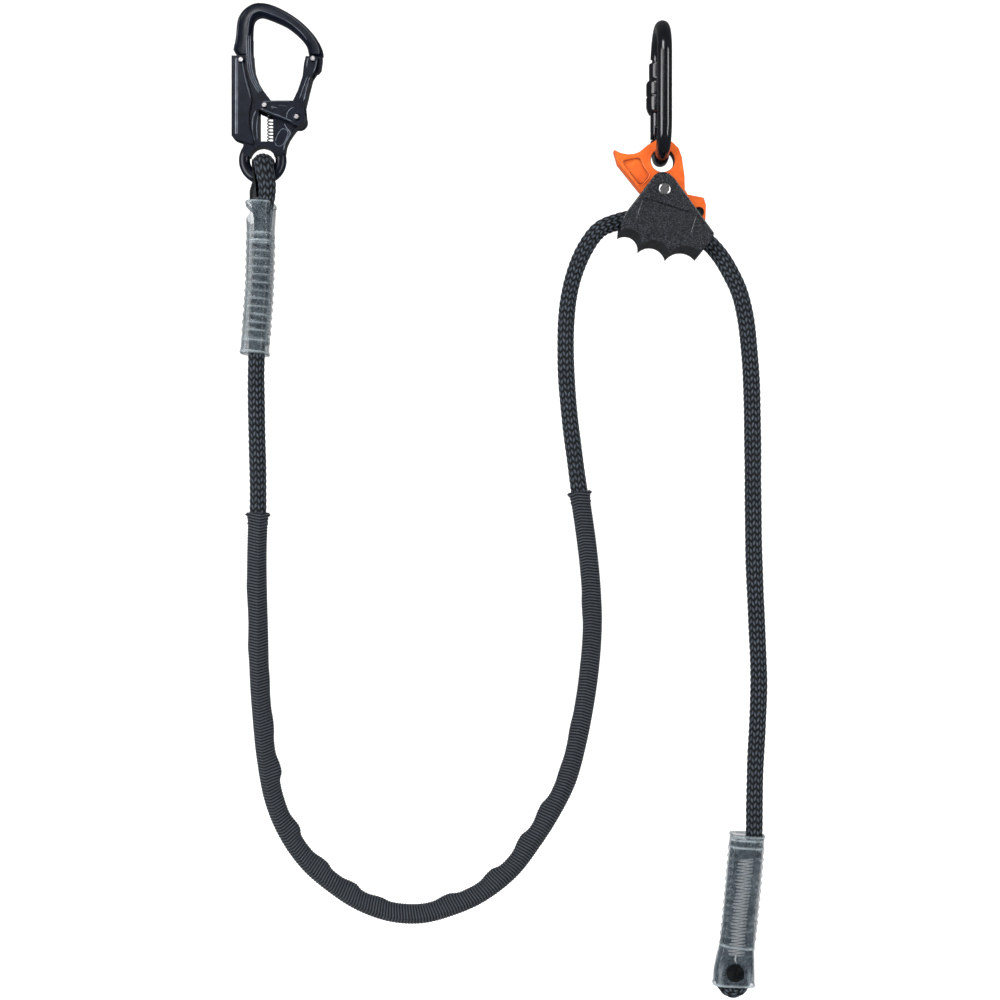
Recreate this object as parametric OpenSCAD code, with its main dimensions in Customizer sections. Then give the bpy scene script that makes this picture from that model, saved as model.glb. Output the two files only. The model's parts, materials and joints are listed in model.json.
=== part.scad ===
// Adjustable rope lanyard, hanging: double-action hook, sewn rope with a webbing protector,
// cam rope grab and twist-lock oval carabiner. Millimetres, +Z up, +X to the right.
// The object lies in the plane Y = 0. The origin is the point of the hook's bow that hangs on a peg.

/* [Rope] */
// Rope diameter
rope_d = 12.4; // [10:0.1:15]
// Bend radius of the rope's centreline in the hook's ring
eye_bend_r = 12.4; // [12:0.1:16]
// Wall of the webbing protector
web_wall = 1.2; // [0.6:0.1:1.5]
// Gap between the rope and what is slipped over it
slip_gap = 0.3; // [0.2:0.05:0.6]
// Wall of the clear sleeves
sleeve_wall = 0.8; // [0.5:0.1:1.2]

/* [Hook] */
// Thickness of the hook's bow, front to back
bow_t = 12.8; // [11:0.2:16]
// Thickness of the hook's lower plate
plate_t = 9.0; // [7:0.2:10.8]
// Bar radius of the eye ring
ring_bar_r = 4.2; // [3:0.1:5]
// Radius of the hole in the eye ring
ring_hole_r = 9.5; // [9:0.1:12]
// Sheet thickness of the palm lever
lever_t = 1.4; // [1:0.1:2]
// Thickness of one tail plate of the gate
tail_t = 2.0; // [1.2:0.1:3]
// Radius of the hook's rivets and pins
rivet_r = 1.9; // [1.4:0.1:2]
// Squeeze of the palm lever, in degrees
lever_travel = 6; // [3:1:6]

/* [Rope grab] */
// Thickness of the housing, front to back
housing_t = 34; // [26:1:40]
// Gap between the housing's walls, for the rope
channel_w = 13.8; // [13:0.2:16]
// Thickness of the cam lever
cam_t = 10; // [7:0.5:10.5]
// Radius of the eye in the cam lever
cam_eye_r = 8.8; // [8.2:0.1:9.2]
// Radius of the cam's gripping nose about its rivet
cam_nose_r = 12.0; // [8:0.1:12]
// Radius of the cam's rivet
cam_rivet_r = 3.5; // [2.5:0.1:4]

/* [Carabiner] */
// Length of the carabiner outside
oval_l = 107.8; // [100:0.2:120]
// Width of the carabiner outside
oval_w = 58.8; // [54:0.2:64]
// Bar diameter
oval_bar_d = 10.8; // [9:0.1:11]
// Radius of the gate
gate_r = 5.4; // [4.6:0.1:5.6]
// Radius of the knurled rings of the lock sleeve
knurl_r = 8.6; // [7.6:0.1:9.4]
// Wall of the lock sleeve at its smooth end
lock_wall = 0.7; // [0.5:0.1:1.2]

/* [Hidden] */
$fn = 48;

run_gap = 0.05;   // radial clearance of a pin in its bore
move_gap = 0.4;   // clearance between pieces that move past each other
rope_r = rope_d / 2;
leg_gap = 0.2;    // between the two sewn legs of an eye
leg_pitch = rope_d + leg_gap;

// Hook, as [x, z] in its own plane
ring_at = [0.6, -107.2];
ring_r = ring_hole_r + ring_bar_r;
bar_z = ring_at[1] - ring_r;         // centre of the ring's lowest bar
gate_pivot = [27.2, -76.8];
gate_nose = [39.0, -32.8];
gate_tail = [3.3, -68.0];
lever_pivot = [-14.6, -33.5];
lug_r = 6.0;
flange_y = plate_t / 2 + 0.3;        // inner face of the palm lever's flange
flange_out = flange_y + lever_t;
tail_y = flange_out + move_gap;      // inner face of the gate's tail plate
tail_out = tail_y + tail_t;
fork_y = 3.4;                        // inner face of the gate's nose fork
arm_y = 6.2;                         // half thickness of the gate's arm
window_x = [-1.5, 9.0];
window_z = [-94.0, -65.6];

// Grab
arch_at = [287.5, -219];             // centre of the rope's arch through the grab
arch_r = 69;
floor_r = arch_r - rope_r - 0.8;     // the housing's floor under the rope
cam_pivot = [299.9, -132.4];
cam_eye = [299.9, -108.2];
cam_tail_hole = [327.0, -146.8];

// Carabiner, in the plane x = oval_x
oval_x = 299.2;
bar_r = oval_bar_d / 2;
bend_r = oval_w / 2 - bar_r;
oval_bottom = cam_eye[1] + cam_eye_r - 2 * bar_r - 1.2;
low_z = oval_bottom + bar_r + bend_r;
high_z = oval_bottom + oval_l - bar_r - bend_r;
hinge_z = low_z + 1.4;
nose_z = high_z + 6.1;               // end of the nose
gate_top = nose_z - 0.6;
tang_x = 2.4;
lock_r = gate_r + 0.3;               // bore of the lock sleeve
lock_z = [hinge_z + 14.5, gate_top];

// The rope's route, from its sewn end behind the hook's sleeve, over the ring's bar, down
// round the U, up through the grab and down to the end eye. Points are [x, y, z].
eye_top = [
    [-3.0, 6.3, -247], [-2.4, 6.3, -228], [-1.2, 6.3, -205], [-0.4, 6.3, -180],
    [-0.6, 6.5, -160], [-1.4, 7.6, -147], [-3.4, 9.8, -137], [-3.9, 11.6, -129]
];
eye_bend = [for (a = [90, 67.5, 45, 22.5, 0, -22.5, -45, -67.5, -90])
    [ring_at[0] - 2.2 * pow(sin(a), 3), eye_bend_r * sin(a), bar_z + eye_bend_r * cos(a)]];
long_route = [
    [3.7, -11.6, -129], [4.0, -9.8, -137], [2.9, -7.6, -147], [1.8, -6.5, -160],
    [1.2, -6.3, -180], [0.1, -6.3, -205], [-1.6, -6.3, -228], [-2.7, -6.1, -247],
    [-3.6, -4.6, -268], [-3.8, -2.2, -292], [-3.6, -0.6, -317], [-3, 0, -345], [-3, 0, -371],
    [-3.8, 0, -405], [-3.4, 0, -435], [-2.6, 0, -465], [-1.9, 0, -495], [0.2, 0, -525],
    [3.4, 0, -556], [9.4, 0, -587], [20, 0, -612], [34.9, 0, -633], [52.5, 0, -648.5],
    [73, 0, -662], [96, 0, -670.5], [119, 0, -672], [141, 0, -666.5], [163.5, 0, -656.5],
    [186, 0, -639], [203, 0, -617], [217, 0, -595], [228.8, 0, -571], [236.6, 0, -542],
    [242.3, 0, -512], [246.2, 0, -482], [247.8, 0, -452], [246.4, 0, -422], [243.2, 0, -392],
    [237.9, 0, -355], [234.8, 0, -332], [231, 0, -302], [228.4, 0, -272], [227.7, 0, -248],
    [228.2, 0, -227], [230.4, 0, -208], [235, 0, -190], [242.5, 0, -173], [253, 0, -159.2],
    [266.2, 0, -153.4], [280.3, 0, -150.4], [294.7, 0, -150.4], [308.8, 0, -153.4],
    [322, 0, -159.2], [333.7, 0, -167.7], [343.3, 0, -178.4], [350.8, 0, -190.5],
    [358, 0, -206], [362.6, 0, -225], [365, 0, -245], [367, 0, -272], [368, 0, -317],
    [368.3, 0, -362], [369, 0, -407], [370.9, 0, -452], [372.6, 0, -497], [371.6, 0, -530],
    [370, 0, -560], [369.3, 0, -590], [369, 0, -614], [367.2, 0, -636], [364.6, 0, -660],
    [362.4, 0, -685], [361.6, 0, -700], [361.8, 0, -714], [360.6, 0, -721]
];
end_bend = [
    [357.6, 0, -726.4], [353.2, 0, -728.6], [348.8, 0, -726.4], [345.8, 0, -721],
    [344.8, 0, -714], [347.2, 0, -700], [349.6, 0, -685], [352, 0, -660], [354.6, 0, -636],
    [356.4, 0, -616]
];
route = concat(eye_top, eye_bend, long_route, end_bend);
web_from = 12;    // first and last points of long_route inside the protector
web_to = 38;

function unit(v) = v / norm(v);
function tangents(p) = [for (i = [0:len(p) - 1]) unit(p[min(i + 1, len(p) - 1)] - p[max(i - 1, 0)])];
// Normals carried along a path without twist, from the one nearest to first
function normals(t, first) = [
    for (i = 0, n = unit(first - (first * t[0]) * t[0]); i < len(t);
         n = i + 1 < len(t) ? unit(n - (n * t[i + 1]) * t[i + 1]) : n, i = i + 1) n
];
// Places each profile's [u, v] points on the path: u along the normal, v across it
function rings(path, profiles, first) =
    let (t = tangents(path), n = normals(t, first))
    [for (i = [0:len(path) - 1]) [for (q = profiles[i]) path[i] + q[0] * n[i] + q[1] * cross(t[i], n[i])]];
function round_profile(r, sides) = [for (j = [0:sides - 1]) [r * cos(j * 360 / sides), r * sin(j * 360 / sides)]];
function soft_power(c) = sign(c) * pow(abs(c), 0.6);
// A rounded rectangle of half sizes w and d
function box_profile(w, d, sides) = [
    for (j = [0:sides - 1]) [w * soft_power(cos(j * 360 / sides)), d * soft_power(sin(j * 360 / sides))]
];
function every(path, profile) = [for (p = path) profile];
function part_of(list, from, to) = [for (i = [from:to]) list[i]];
function side_faces(base, rows, n) = [
    for (i = [0:rows - 2], j = [0:n - 1], half = [0, 1])
        let (a = base + i * n + j, b = base + i * n + (j + 1) % n)
        half == 0 ? [a, a + n, b + n] : [a, b + n, b]
];
function flipped(faces) = [for (f = faces) [f[0], f[2], f[1]]];
function joined(lists) = [for (l = lists) each l];

// A closed solid through a list of rings with the same number of points
module skin(loops) {
    n = len(loops[0]);
    rows = len(loops);
    polyhedron(
        points = joined(loops),
        faces = concat(
            side_faces(0, rows, n),
            [[for (j = [0:n - 1]) j]],
            [[for (j = [n - 1:-1:0]) (rows - 1) * n + j]]
        )
    );
}
// The same, hollow and open at both ends
module tube_skin(outer, inner) {
    n = len(outer[0]);
    rows = len(outer);
    m = n * rows;
    polyhedron(
        points = concat(joined(outer), joined(inner)),
        faces = concat(
            side_faces(0, rows, n),
            flipped(side_faces(m, rows, n)),
            [for (j = [0:n - 1]) let (k = (j + 1) % n) [j, k, m + k]],
            [for (j = [0:n - 1]) let (k = (j + 1) % n) [j, m + k, m + j]],
            [for (j = [0:n - 1]) let (k = (j + 1) % n, e = (rows - 1) * n) [e + j, e + m + k, e + k]],
            [for (j = [0:n - 1]) let (k = (j + 1) % n, e = (rows - 1) * n) [e + j, e + m + j, e + m + k]]
        )
    );
}
// A slab of a front-view outline, [x, z] points, from y = low to y = high
module slab(outline, low, high) {
    translate([0, high, 0]) rotate([90, 0, 0]) linear_extrude(high - low) polygon(outline);
}
module both_sides() {
    children();
    mirror([0, 1, 0]) children();
}
// A round bar along Y at [x, z]
module bar(at, r, low, high) {
    translate([at[0], high, at[1]]) rotate([90, 0, 0]) cylinder(r = r, h = high - low);
}
// A headed rivet along Y through half_l on both sides
module rivet(at, r, head_r, head_h, half_l) {
    translate([at[0], 0, at[1]]) rotate([90, 0, 0]) {
        cylinder(r = r, h = 2 * half_l + 2 * head_h, center = true);
        for (side = [0, 180]) rotate([side, 0, 0]) translate([0, 0, half_l])
            rotate_extrude() polygon([[0, 0], [head_r, 0], [head_r * 0.9, head_h * 0.6], [head_r * 0.5, head_h], [0, head_h]]);
    }
}
// A coil about Z from z = 0
module coil(r, wire_r, turns, height) {
    steps = 14;
    path = [for (i = [0:turns * steps]) let (a = i * 360 / steps)
        [r * cos(a), r * sin(a), wire_r + (height - 2 * wire_r) * i / (turns * steps)]];
    skin(rings(path, every(path, round_profile(wire_r, 6)), [0, 0, 1]));
}

// ---- Hook ----

// Sections of the bow from its nose to the spine: outer [x, z], inner [x, z]
bow = [
    [[46.2, -28.9], [35.4, -28.9]], [[45.6, -25.0], [34.4, -24.0]], [[43.2, -19.6], [32.6, -20.2]],
    [[38.6, -12.8], [29.0, -15.8]], [[32.0, -5.8], [23.4, -10.8]], [[24.0, 0.4], [17.6, -6.8]],
    [[15.0, 5.6], [11.0, -3.8]], [[6.0, 9.2], [4.4, -1.2]], [[-2.4, 10.2], [0, 0]],
    [[-8.6, 8.4], [-3.0, -0.8]], [[-13.6, 4.6], [-4.9, -2.6]], [[-17.2, -0.6], [-5.9, -5.2]],
    [[-18.6, -6.6], [-6.4, -9.2]], [[-19.2, -13.8], [-6.6, -14.6]], [[-20.2, -20.4], [-6.6, -20.8]],
    [[-21.2, -24.6], [-6.5, -25.0]], [[-18.6, -28.8], [-6.4, -28.8]]
];
spine_inner = [[-6.4, -28.9], [-6.3, -32], [-5.4, -40.7], [-2.5, -48.9], [2.2, -56.6], [7.5, -63.4]];
// Half of the bow's section, from outer edge to inner edge, as shares of its half width and half
// thickness: a broad outer bevel, a face sunk a little, and a bevel line along the inner edge
bow_half = [[1, 0.24], [0.93, 0.56], [0.68, 0.9], [0.58, 0.98], [0.5, 0.965], [0.43, 0.91], [0, 0.88],
            [-0.36, 0.91], [-0.43, 0.965], [-0.51, 0.985], [-0.6, 0.93], [-0.9, 0.58], [-1, 0.24]];
bow_section = concat(bow_half, [for (i = [len(bow_half) - 1:-1:0]) [bow_half[i][0], -bow_half[i][1]]]);
function bow_ring(s) =
    let (c = (s[0] + s[1]) / 2, w = norm(s[0] - s[1]) / 2, d = unit(s[0] - s[1]))
    [for (q = bow_section) [c[0] + q[0] * w * d[0], q[1] * bow_t / 2, c[1] + q[0] * w * d[1]]];
// n steps between neighbours, on a smooth curve through all of them
function smoothed(list, n) = concat(
    [for (i = [0:len(list) - 2], k = [0:n - 1])
        let (t = k / n, a = list[max(i - 1, 0)], b = list[i], c = list[i + 1], d = list[min(i + 2, len(list) - 1)])
        (2 * b + t * (c - a) + t * t * (2 * a - 5 * b + 4 * c - d) + t * t * t * (3 * b - a - 3 * c + d)) / 2],
    [list[len(list) - 1]]
);
module hook_body() {
    plate = concat(
        [[-18.0, -23.6], [-9.2, -24.3]], part_of(spine_inner, 0, 5),
        [[15, -71], [21.6, -77], [27.2, -82.8], [23.9, -86.8], [20.6, -91.7], [18.5, -96.7],
         [17.6, -102.2], [14.5, -105], [-13.2, -105], [-13.4, -98], [-12.5, -90], [-15.5, -60]]
    );
    ridge = concat([[-9.0, -25.0]], part_of(spine_inner, 0, 4), [[-1.8, -56.6], [-6.4, -49.6], [-9.4, -41], [-10.8, -25.4]]);
    nose = [[36.2, -23.5], [43.6, -23.9], [45.1, -28.6], [45.5, -31.6], [44.5, -39.4], [42.5, -42], [40.1, -42.6],
            [37.2, -41], [36.2, -36]];
    color([0.07, 0.07, 0.08])
    difference() {
        union() {
            // Both ends taper into the slabs they meet
            skin(concat(
                [[for (q = bow_section) [40.8 + q[0] * 2.6, q[1] * 2.4, -30.1]]],
                [for (s = smoothed(bow, 2)) bow_ring(s)],
                [[for (q = bow_section) [-12.1 - q[0] * 4.6, q[1] * 3.8, -30.1]]]
            ));
            slab(plate, -plate_t / 2, plate_t / 2);
            slab(ridge, -bow_t / 2 + 0.9, bow_t / 2 - 0.9);
            slab(nose, -fork_y + move_gap, fork_y - move_gap);
            bar(gate_pivot, lug_r, -plate_t / 2, plate_t / 2);
            translate([ring_at[0], 0, ring_at[1]]) rotate([90, 0, 0])
                rotate_extrude() translate([ring_r, 0]) circle(ring_bar_r);
        }
        bar(ring_at, ring_hole_r, -plate_t, plate_t);
        bar(gate_pivot, rivet_r + run_gap, -plate_t, plate_t);
        bar(lever_pivot, rivet_r + run_gap, -plate_t, plate_t);
        bar(lever_pivot, 4.6, plate_t / 2 - 2.6, plate_t);
        // Window that the gate's tail pin travels in
        translate([window_x[0], -plate_t, window_z[0]])
            cube([window_x[1] - window_x[0], 2 * plate_t, window_z[1] - window_z[0]]);
        // Slot that the gate's nose rivet swings out of
        bar(gate_nose, rivet_r + 0.4, -plate_t, plate_t);
        translate([gate_nose[0], 0, gate_nose[1]]) rotate([0, 13, 0])
            translate([-8, -plate_t, -rivet_r - 0.4]) cube([8, 2 * plate_t, 2 * rivet_r + 0.8]);
    }
}

module hook_gate() {
    arm = [[31.4, -45.2], [30.5, -48.0], [27.8, -56.1], [24.4, -63.4], [22.4, -67.2], [32.4, -67.6],
           [35.4, -55], [37.9, -45.2]];
    cheek = [[33.6, -30.8], [32.3, -36.3], [31.2, -46.0], [37.9, -45.8], [41.4, -39.6], [43.0, -31.6], [41.4, -30.8]];
    root = [[22.6, -66.8], [20.9, -76.8], [33.2, -78.0], [32.2, -66.8]];
    tail = [[-2.6, -65.4], [0.2, -64.6], [23.4, -64.6], [32.2, -66.8], [33.2, -77.0], [30.6, -81.4],
            [27.6, -82.4], [-1.6, -70.9], [-3.4, -68.4]];
    color([0.08, 0.08, 0.09])
    difference() {
        union() {
            slab(arm, -arm_y, arm_y);
            both_sides() {
                slab(cheek, fork_y, arm_y);
                slab(root, flange_y, tail_out);
                bar(gate_pivot, 6.2, flange_y, tail_out);
                slab(tail, tail_y, tail_out);
            }
        }
        bar(gate_pivot, lug_r + 0.8, -flange_y, flange_y);
        bar(gate_pivot, rivet_r + run_gap, -tail_out - 1, tail_out + 1);
        bar(gate_nose, rivet_r + run_gap, -arm_y - 1, arm_y + 1);
        bar(gate_tail, rivet_r + run_gap, -tail_out - 1, tail_out + 1);
    }
}
module hook_palm_lever() {
    arc_r = 36;
    lever_edge = [for (a = [165:5:206]) gate_pivot + arc_r * [cos(a), sin(a)]];
    flange = concat(
        [[-21.75, -30.3], [-14.2, -30.3], [-12.9, -31.6], [-12.9, -36.3], [-6.6, -62]],
        lever_edge,
        [[-5.8, -96.8], [-12.9, -94.4], [-19.8, -91.8], [-21.75, -90.1]]
    );
    color([0.09, 0.09, 0.1])
    difference() {
        union() {
            both_sides() slab(flange, flange_y, flange_out);
            translate([-21.75, -flange_out, -90.1]) cube([lever_t, 2 * flange_out, 59.8]);
        }
        bar(lever_pivot, rivet_r + run_gap, -flange_out - 1, flange_out + 1);
    }
}
module gate_pivot_rivet() { color("silver") rivet(gate_pivot, rivet_r, 2.9, 1.0, tail_out + 0.05); }
module gate_nose_rivet() { color("silver") rivet(gate_nose, rivet_r, 2.5, 0.9, arm_y + 0.05); }
module gate_tail_pin() { color("silver") rivet(gate_tail, rivet_r, 2.5, 0.9, tail_out + 0.05); }
module lever_pivot_rivet() { color("silver") rivet(lever_pivot, rivet_r, 2.6, 0.9, flange_out + 0.05); }
module gate_spring() {
    color([0.6, 0.6, 0.62]) translate([6.2, 0, window_z[0] + 0.1]) coil(2.0, 0.45, 9, gate_tail[1] - rivet_r - 0.6 - window_z[0]);
}
module lever_spring() {
    color([0.6, 0.6, 0.62]) translate([lever_pivot[0], plate_t / 2 - 0.1, lever_pivot[1]])
        rotate([90, 0, 0]) coil(3.2, 0.4, 1.5, 2.3);
}

// ---- Rope and what is on it ----

module rope() {
    color([0.1, 0.1, 0.12]) skin(rings(route, every(route, round_profile(rope_r, 12)), [1, 0, 0]));
}
// Plastic liner between the rope and the ring's bar, a crescent under the rope
module hook_thimble() {
    first = len(eye_top) - 2;
    path = part_of(route, first, first + 12);
    inner_r = rope_r + slip_gap;
    wall = 1.1;
    arc = [for (a = [-96:24:96]) a];
    crescent = concat(
        [for (a = arc) -inner_r * [sin(a), cos(a)]],
        [for (i = [len(arc) - 1:-1:0]) -(inner_r + wall) * [sin(arc[i]), cos(arc[i])]]
    );
    // The crescent opens away from the ring's bar
    color([0.09, 0.09, 0.1]) skin(rings(path, every(path, crescent), [1, 0, 0]));
}
// Bar tacks on both sides of the two legs, across X
module hook_end_stitching() {
    path = [[0.5, 0, -164], [0.4, 0, -180], [-0.5, 0, -205], [-2.0, 0, -228], [-2.5, 0, -240]];
    color([0.7, 0.7, 0.68]) for (side = [-1, 1]) {
        place = [for (p = path) p + [side * (rope_r + 1.4), 0, 0]];
        skin(rings(place, every(place, box_profile(0.4, 4.5, 8)), [1, 0, 0]));
    }
}
hook_sleeve_path = [[-0.4, 0, -138], [0, 0, -149], [0.2, 0, -162], [-0.2, 0, -180], [-1.0, 0, -205],
                    [-2.6, 0, -228], [-3.8, 0, -244], [-4.4, 0, -253]];
module hook_end_sleeve() {
    w = rope_r + 3.6;
    d = leg_pitch / 2 + rope_r + 0.7 + sleeve_wall;
    flare = [4, 2, 0.6, 0, 0, 0, 0, 0];
    outer = [for (i = [0:len(hook_sleeve_path) - 1]) box_profile(w + flare[i] * 0.6, d + flare[i], 20)];
    inner = [for (p = outer) [for (q = p) q - sleeve_wall * unit(q)]];
    color([0.75, 0.78, 0.8, 0.5])
        tube_skin(rings(hook_sleeve_path, outer, [1, 0, 0]), rings(hook_sleeve_path, inner, [1, 0, 0]));
}
module webbing_protector() {
    path = part_of(long_route, web_from, web_to);
    inner_r = rope_r + slip_gap;
    color([0.12, 0.12, 0.14]) tube_skin(
        rings(path, every(path, round_profile(inner_r + web_wall, 12)), [0, 1, 0]),
        rings(path, every(path, round_profile(inner_r, 12)), [0, 1, 0])
    );
}
module end_stitching() {
    path = [[362.2, 0, -630], [359.4, 0, -655], [356.6, 0, -680], [354.6, 0, -700]];
    color([0.75, 0.75, 0.73]) for (side = [-1, 1]) {
        place = [for (p = path) p + [0, side * (rope_r + 0.5), 0]];
        skin(rings(place, every(place, box_profile(5.2, 0.4, 8)), [1, 0, 0]));
    }
}
end_sleeve_path = [[362.6, 0, -612], [362.1, 0, -622], [360.2, 0, -645], [357.4, 0, -670],
                   [355.2, 0, -693], [353.9, 0, -706], [353.3, 0, -716], [353.2, 0, -725]];
module end_sleeve() {
    // Room outside the rope's radius, at each point of the path
    room = [7.6, 7.5, 7.5, 7.6, 8.0, 9.0, 9.6, 9.6];
    outer = [for (w = room) box_profile(rope_r + w, rope_r + 1.1 + sleeve_wall, 20)];
    inner = [for (p = outer) [for (q = p) q - sleeve_wall * unit(q)]];
    color([0.75, 0.78, 0.8, 0.5]) difference() {
        tube_skin(rings(end_sleeve_path, outer, [1, 0, 0]), rings(end_sleeve_path, inner, [1, 0, 0]));
        bar(stop_at, stop_r + 0.3, -rope_d, rope_d);
    }
}
stop_at = [353.3, -713.4];
stop_r = 2.0;
stop_head_r = 6.4;
stop_y = rope_r + 2.3;
module end_stop_screw() {
    color([0.2, 0.21, 0.22]) difference() {
        union() {
            bar(stop_at, stop_r, -stop_y, stop_y + 2.6);
            bar(stop_at, stop_head_r, -stop_y - 2.2, -stop_y);
        }
        translate([stop_at[0], -stop_y - 2.2, stop_at[1]]) rotate([0, 20, 0])
            cube([1.4, 2.0, 2 * stop_head_r + 1], center = true);
    }
}
module end_stop_nut() {
    color("silver") difference() {
        translate([stop_at[0], stop_y + 2.6, stop_at[1]]) rotate([90, 0, 0]) cylinder(r = 4.6, h = 2.6, $fn = 6);
        bar(stop_at, stop_r + run_gap, 0, stop_y + 4);
    }
}

// ---- Rope grab ----

module grab_housing() {
    outline = [
        [292.4, -122.1], [295.2, -120.2], [298.8, -119.6], [303.4, -120.8], [307.4, -124.6],
        [336.4, -164.6], [335.9, -168.4], [326.6, -179.7], [304.0, -179.9], [283.6, -173.6],
        [267.6, -163.0], [268.3, -156], [271, -150.2]
    ];
    fingers = [[315.4, -188.2, 14.1], [292.0, -182.4, 12.2], [273.3, -171.4, 9.9]];
    color([0.13, 0.13, 0.14])
    difference() {
        slab(outline, -housing_t / 2, housing_t / 2);
        for (f = fingers) bar([f[0], f[1]], f[2], -housing_t, housing_t);
        difference() {
            translate([250, -channel_w / 2, -190]) cube([100, channel_w, 90]);
            bar(arch_at, floor_r, -channel_w, channel_w);
        }
        bar(cam_pivot, cam_rivet_r + run_gap, -housing_t, housing_t);
        // Label field, without lettering, on the front and the back
        both_sides() slab([[284.3, -138.7], [323.2, -150.8], [318.7, -166.4], [278.9, -154.6]],
            housing_t / 2 - 0.5, housing_t / 2 + 1);
    }
}
module cam_lever() {
    outline = [
        [263.6, -100.3], [268.5, -102.7], [274, -103.7], [278.5, -103.4], [282.5, -102], [288.5, -97],
        [294.9, -93.3], [300.8, -92.2], [306.8, -94.3], [311.7, -98.9], [314.3, -105.8],
        [316.3, -120.2], [316.5, -130.1], [318.6, -133.7], [330.5, -136.1], [332.3, -141.4],
        [331.9, -152.5], [320, -147.8], [308, -141.4], [293, -140.6], [282.5, -130.1], [266.4, -110]
    ];
    pocket = [[270.2, -109.1], [271.4, -107.9], [282.0, -106.1], [283.4, -106.9], [286.4, -114.4], [290.0, -118.8],
              [290.0, -120.0], [284.4, -126.4], [283.0, -126.6], [279.0, -122.4]];
    color([0.93, 0.42, 0.1])
    difference() {
        union() {
            slab(outline, -cam_t / 2, cam_t / 2);
            bar(cam_pivot, cam_nose_r, -cam_t / 2, cam_t / 2);
        }
        both_sides() slab(pocket, cam_t / 2 - 1.6, cam_t / 2 + 1);
        bar(cam_eye, cam_eye_r, -cam_t, cam_t);
        bar(cam_tail_hole, 3.5, -cam_t, cam_t);
        bar(cam_pivot, cam_rivet_r + run_gap, -cam_t, cam_t);
        // Pocket that the return spring lies in
        bar(cam_pivot, 7.2, cam_t / 2 - 3.2, cam_t);
    }
}
module cam_rivet() { color("silver") rivet(cam_pivot, cam_rivet_r, 4.6, 1.6, housing_t / 2 + 0.05); }
module cam_spring() {
    color([0.6, 0.6, 0.62]) translate([cam_pivot[0], cam_t / 2, cam_pivot[1]])
        rotate([90, 0, 0]) coil(5.6, 0.6, 1.25, 3.0);
}
module cam_bushes() {
    gap = 0.3;
    color([0.75, 0.7, 0.5]) both_sides() difference() {
        bar(cam_pivot, 6.6, cam_t / 2 + gap, channel_w / 2 - gap);
        bar(cam_pivot, cam_rivet_r + run_gap, 0, channel_w);
    }
}

// ---- Carabiner ----

// Children are drawn with the carabiner's plane turned into x = oval_x: +X there becomes +Y
module in_oval() { translate([oval_x, 0, 0]) rotate([0, 0, 90]) children(); }
module bend(z, from, sweep, r) {
    translate([0, 0, z]) rotate([90, 0, 0]) rotate([0, 0, from])
        rotate_extrude(angle = sweep) translate([bend_r, 0]) circle(r);
}
// A bar across the oval's plane
module cross_bar(at, r, half_l) {
    translate([at[0], 0, at[1]]) rotate([90, 0, 0]) cylinder(r = r, h = 2 * half_l, center = true);
}
module carabiner_body() {
    low_end = 13;     // degrees below level where the lower bend stops
    high_end = 20;    // degrees above level where the upper bend stops
    color([0.06, 0.06, 0.07]) in_oval() difference() {
        union() {
            translate([-bend_r, 0, low_z]) cylinder(r = bar_r, h = high_z - low_z);
            bend(low_z, 180, 180 - low_end, bar_r);
            translate([0, 0, high_z]) rotate([180, 0, 0]) bend(0, 180, 180 - high_end, bar_r);
            // Nose that meets the gate inside the sleeve's mouth
            translate([bend_r - 0.6, 0, nose_z]) cylinder(r = gate_r - 1.2, h = 5);
            // Tang that the gate turns on
            translate([bend_r - 4.4, -tang_x, low_z - 9]) cube([8.6, 2 * tang_x, hinge_z - low_z + 9]);
            cross_bar([bend_r, hinge_z], 4.3, tang_x);
        }
        cross_bar([bend_r, hinge_z], 1.5 + run_gap, 10);
    }
}
module carabiner_gate() {
    color([0.09, 0.09, 0.1]) in_oval() difference() {
        union() {
            translate([bend_r, 0, hinge_z]) cylinder(r = gate_r, h = gate_top - hinge_z);
            intersection() {
                translate([bend_r, 0, hinge_z - 6]) cylinder(r = gate_r, h = 12);
                cross_bar([bend_r, hinge_z], 4.9, 10);
            }
        }
        // Slot over the body's tang
        translate([bend_r - 10, -tang_x - 0.3, hinge_z - 10]) cube([20, 2 * tang_x + 0.6, 10 + 4.8]);
        cross_bar([bend_r, hinge_z], 1.5 + run_gap, 10);
        // Bore for the spring and its plunger
        translate([bend_r, 0, hinge_z + 4]) cylinder(r = 2.8, h = 38);
    }
}
module carabiner_hinge_pin() {
    color("silver") in_oval() cross_bar([bend_r, hinge_z], 1.5, gate_r - 0.4);
}
module carabiner_lock_sleeve() {
    smooth_r = lock_r + lock_wall;
    h = lock_z[1] - lock_z[0];
    profile = [
        [lock_r, 0], [6.6, 0], [knurl_r - 0.5, 3.0], [knurl_r - 0.5, 4.0], [knurl_r, 4.4], [knurl_r, 12.4],
        [knurl_r - 1.2, 12.8], [knurl_r - 1.2, 14.0], [knurl_r, 14.4], [knurl_r, 23.2], [knurl_r - 0.7, 24.6],
        [smooth_r, 25.4], [smooth_r, h - 0.4], [smooth_r - 0.3, h], [lock_r, h]
    ];
    color([0.1, 0.1, 0.11]) in_oval() translate([bend_r, 0, lock_z[0]]) rotate_extrude() polygon(profile);
}
module carabiner_gate_spring() {
    color([0.6, 0.6, 0.62]) in_oval() translate([bend_r, 0, hinge_z + 12.2]) coil(2.1, 0.4, 10, 29.5);
}
module carabiner_plunger() {
    color([0.6, 0.6, 0.62]) in_oval() translate([bend_r, 0, hinge_z + 5.0]) cylinder(r = 2.7, h = 7);
}

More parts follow.
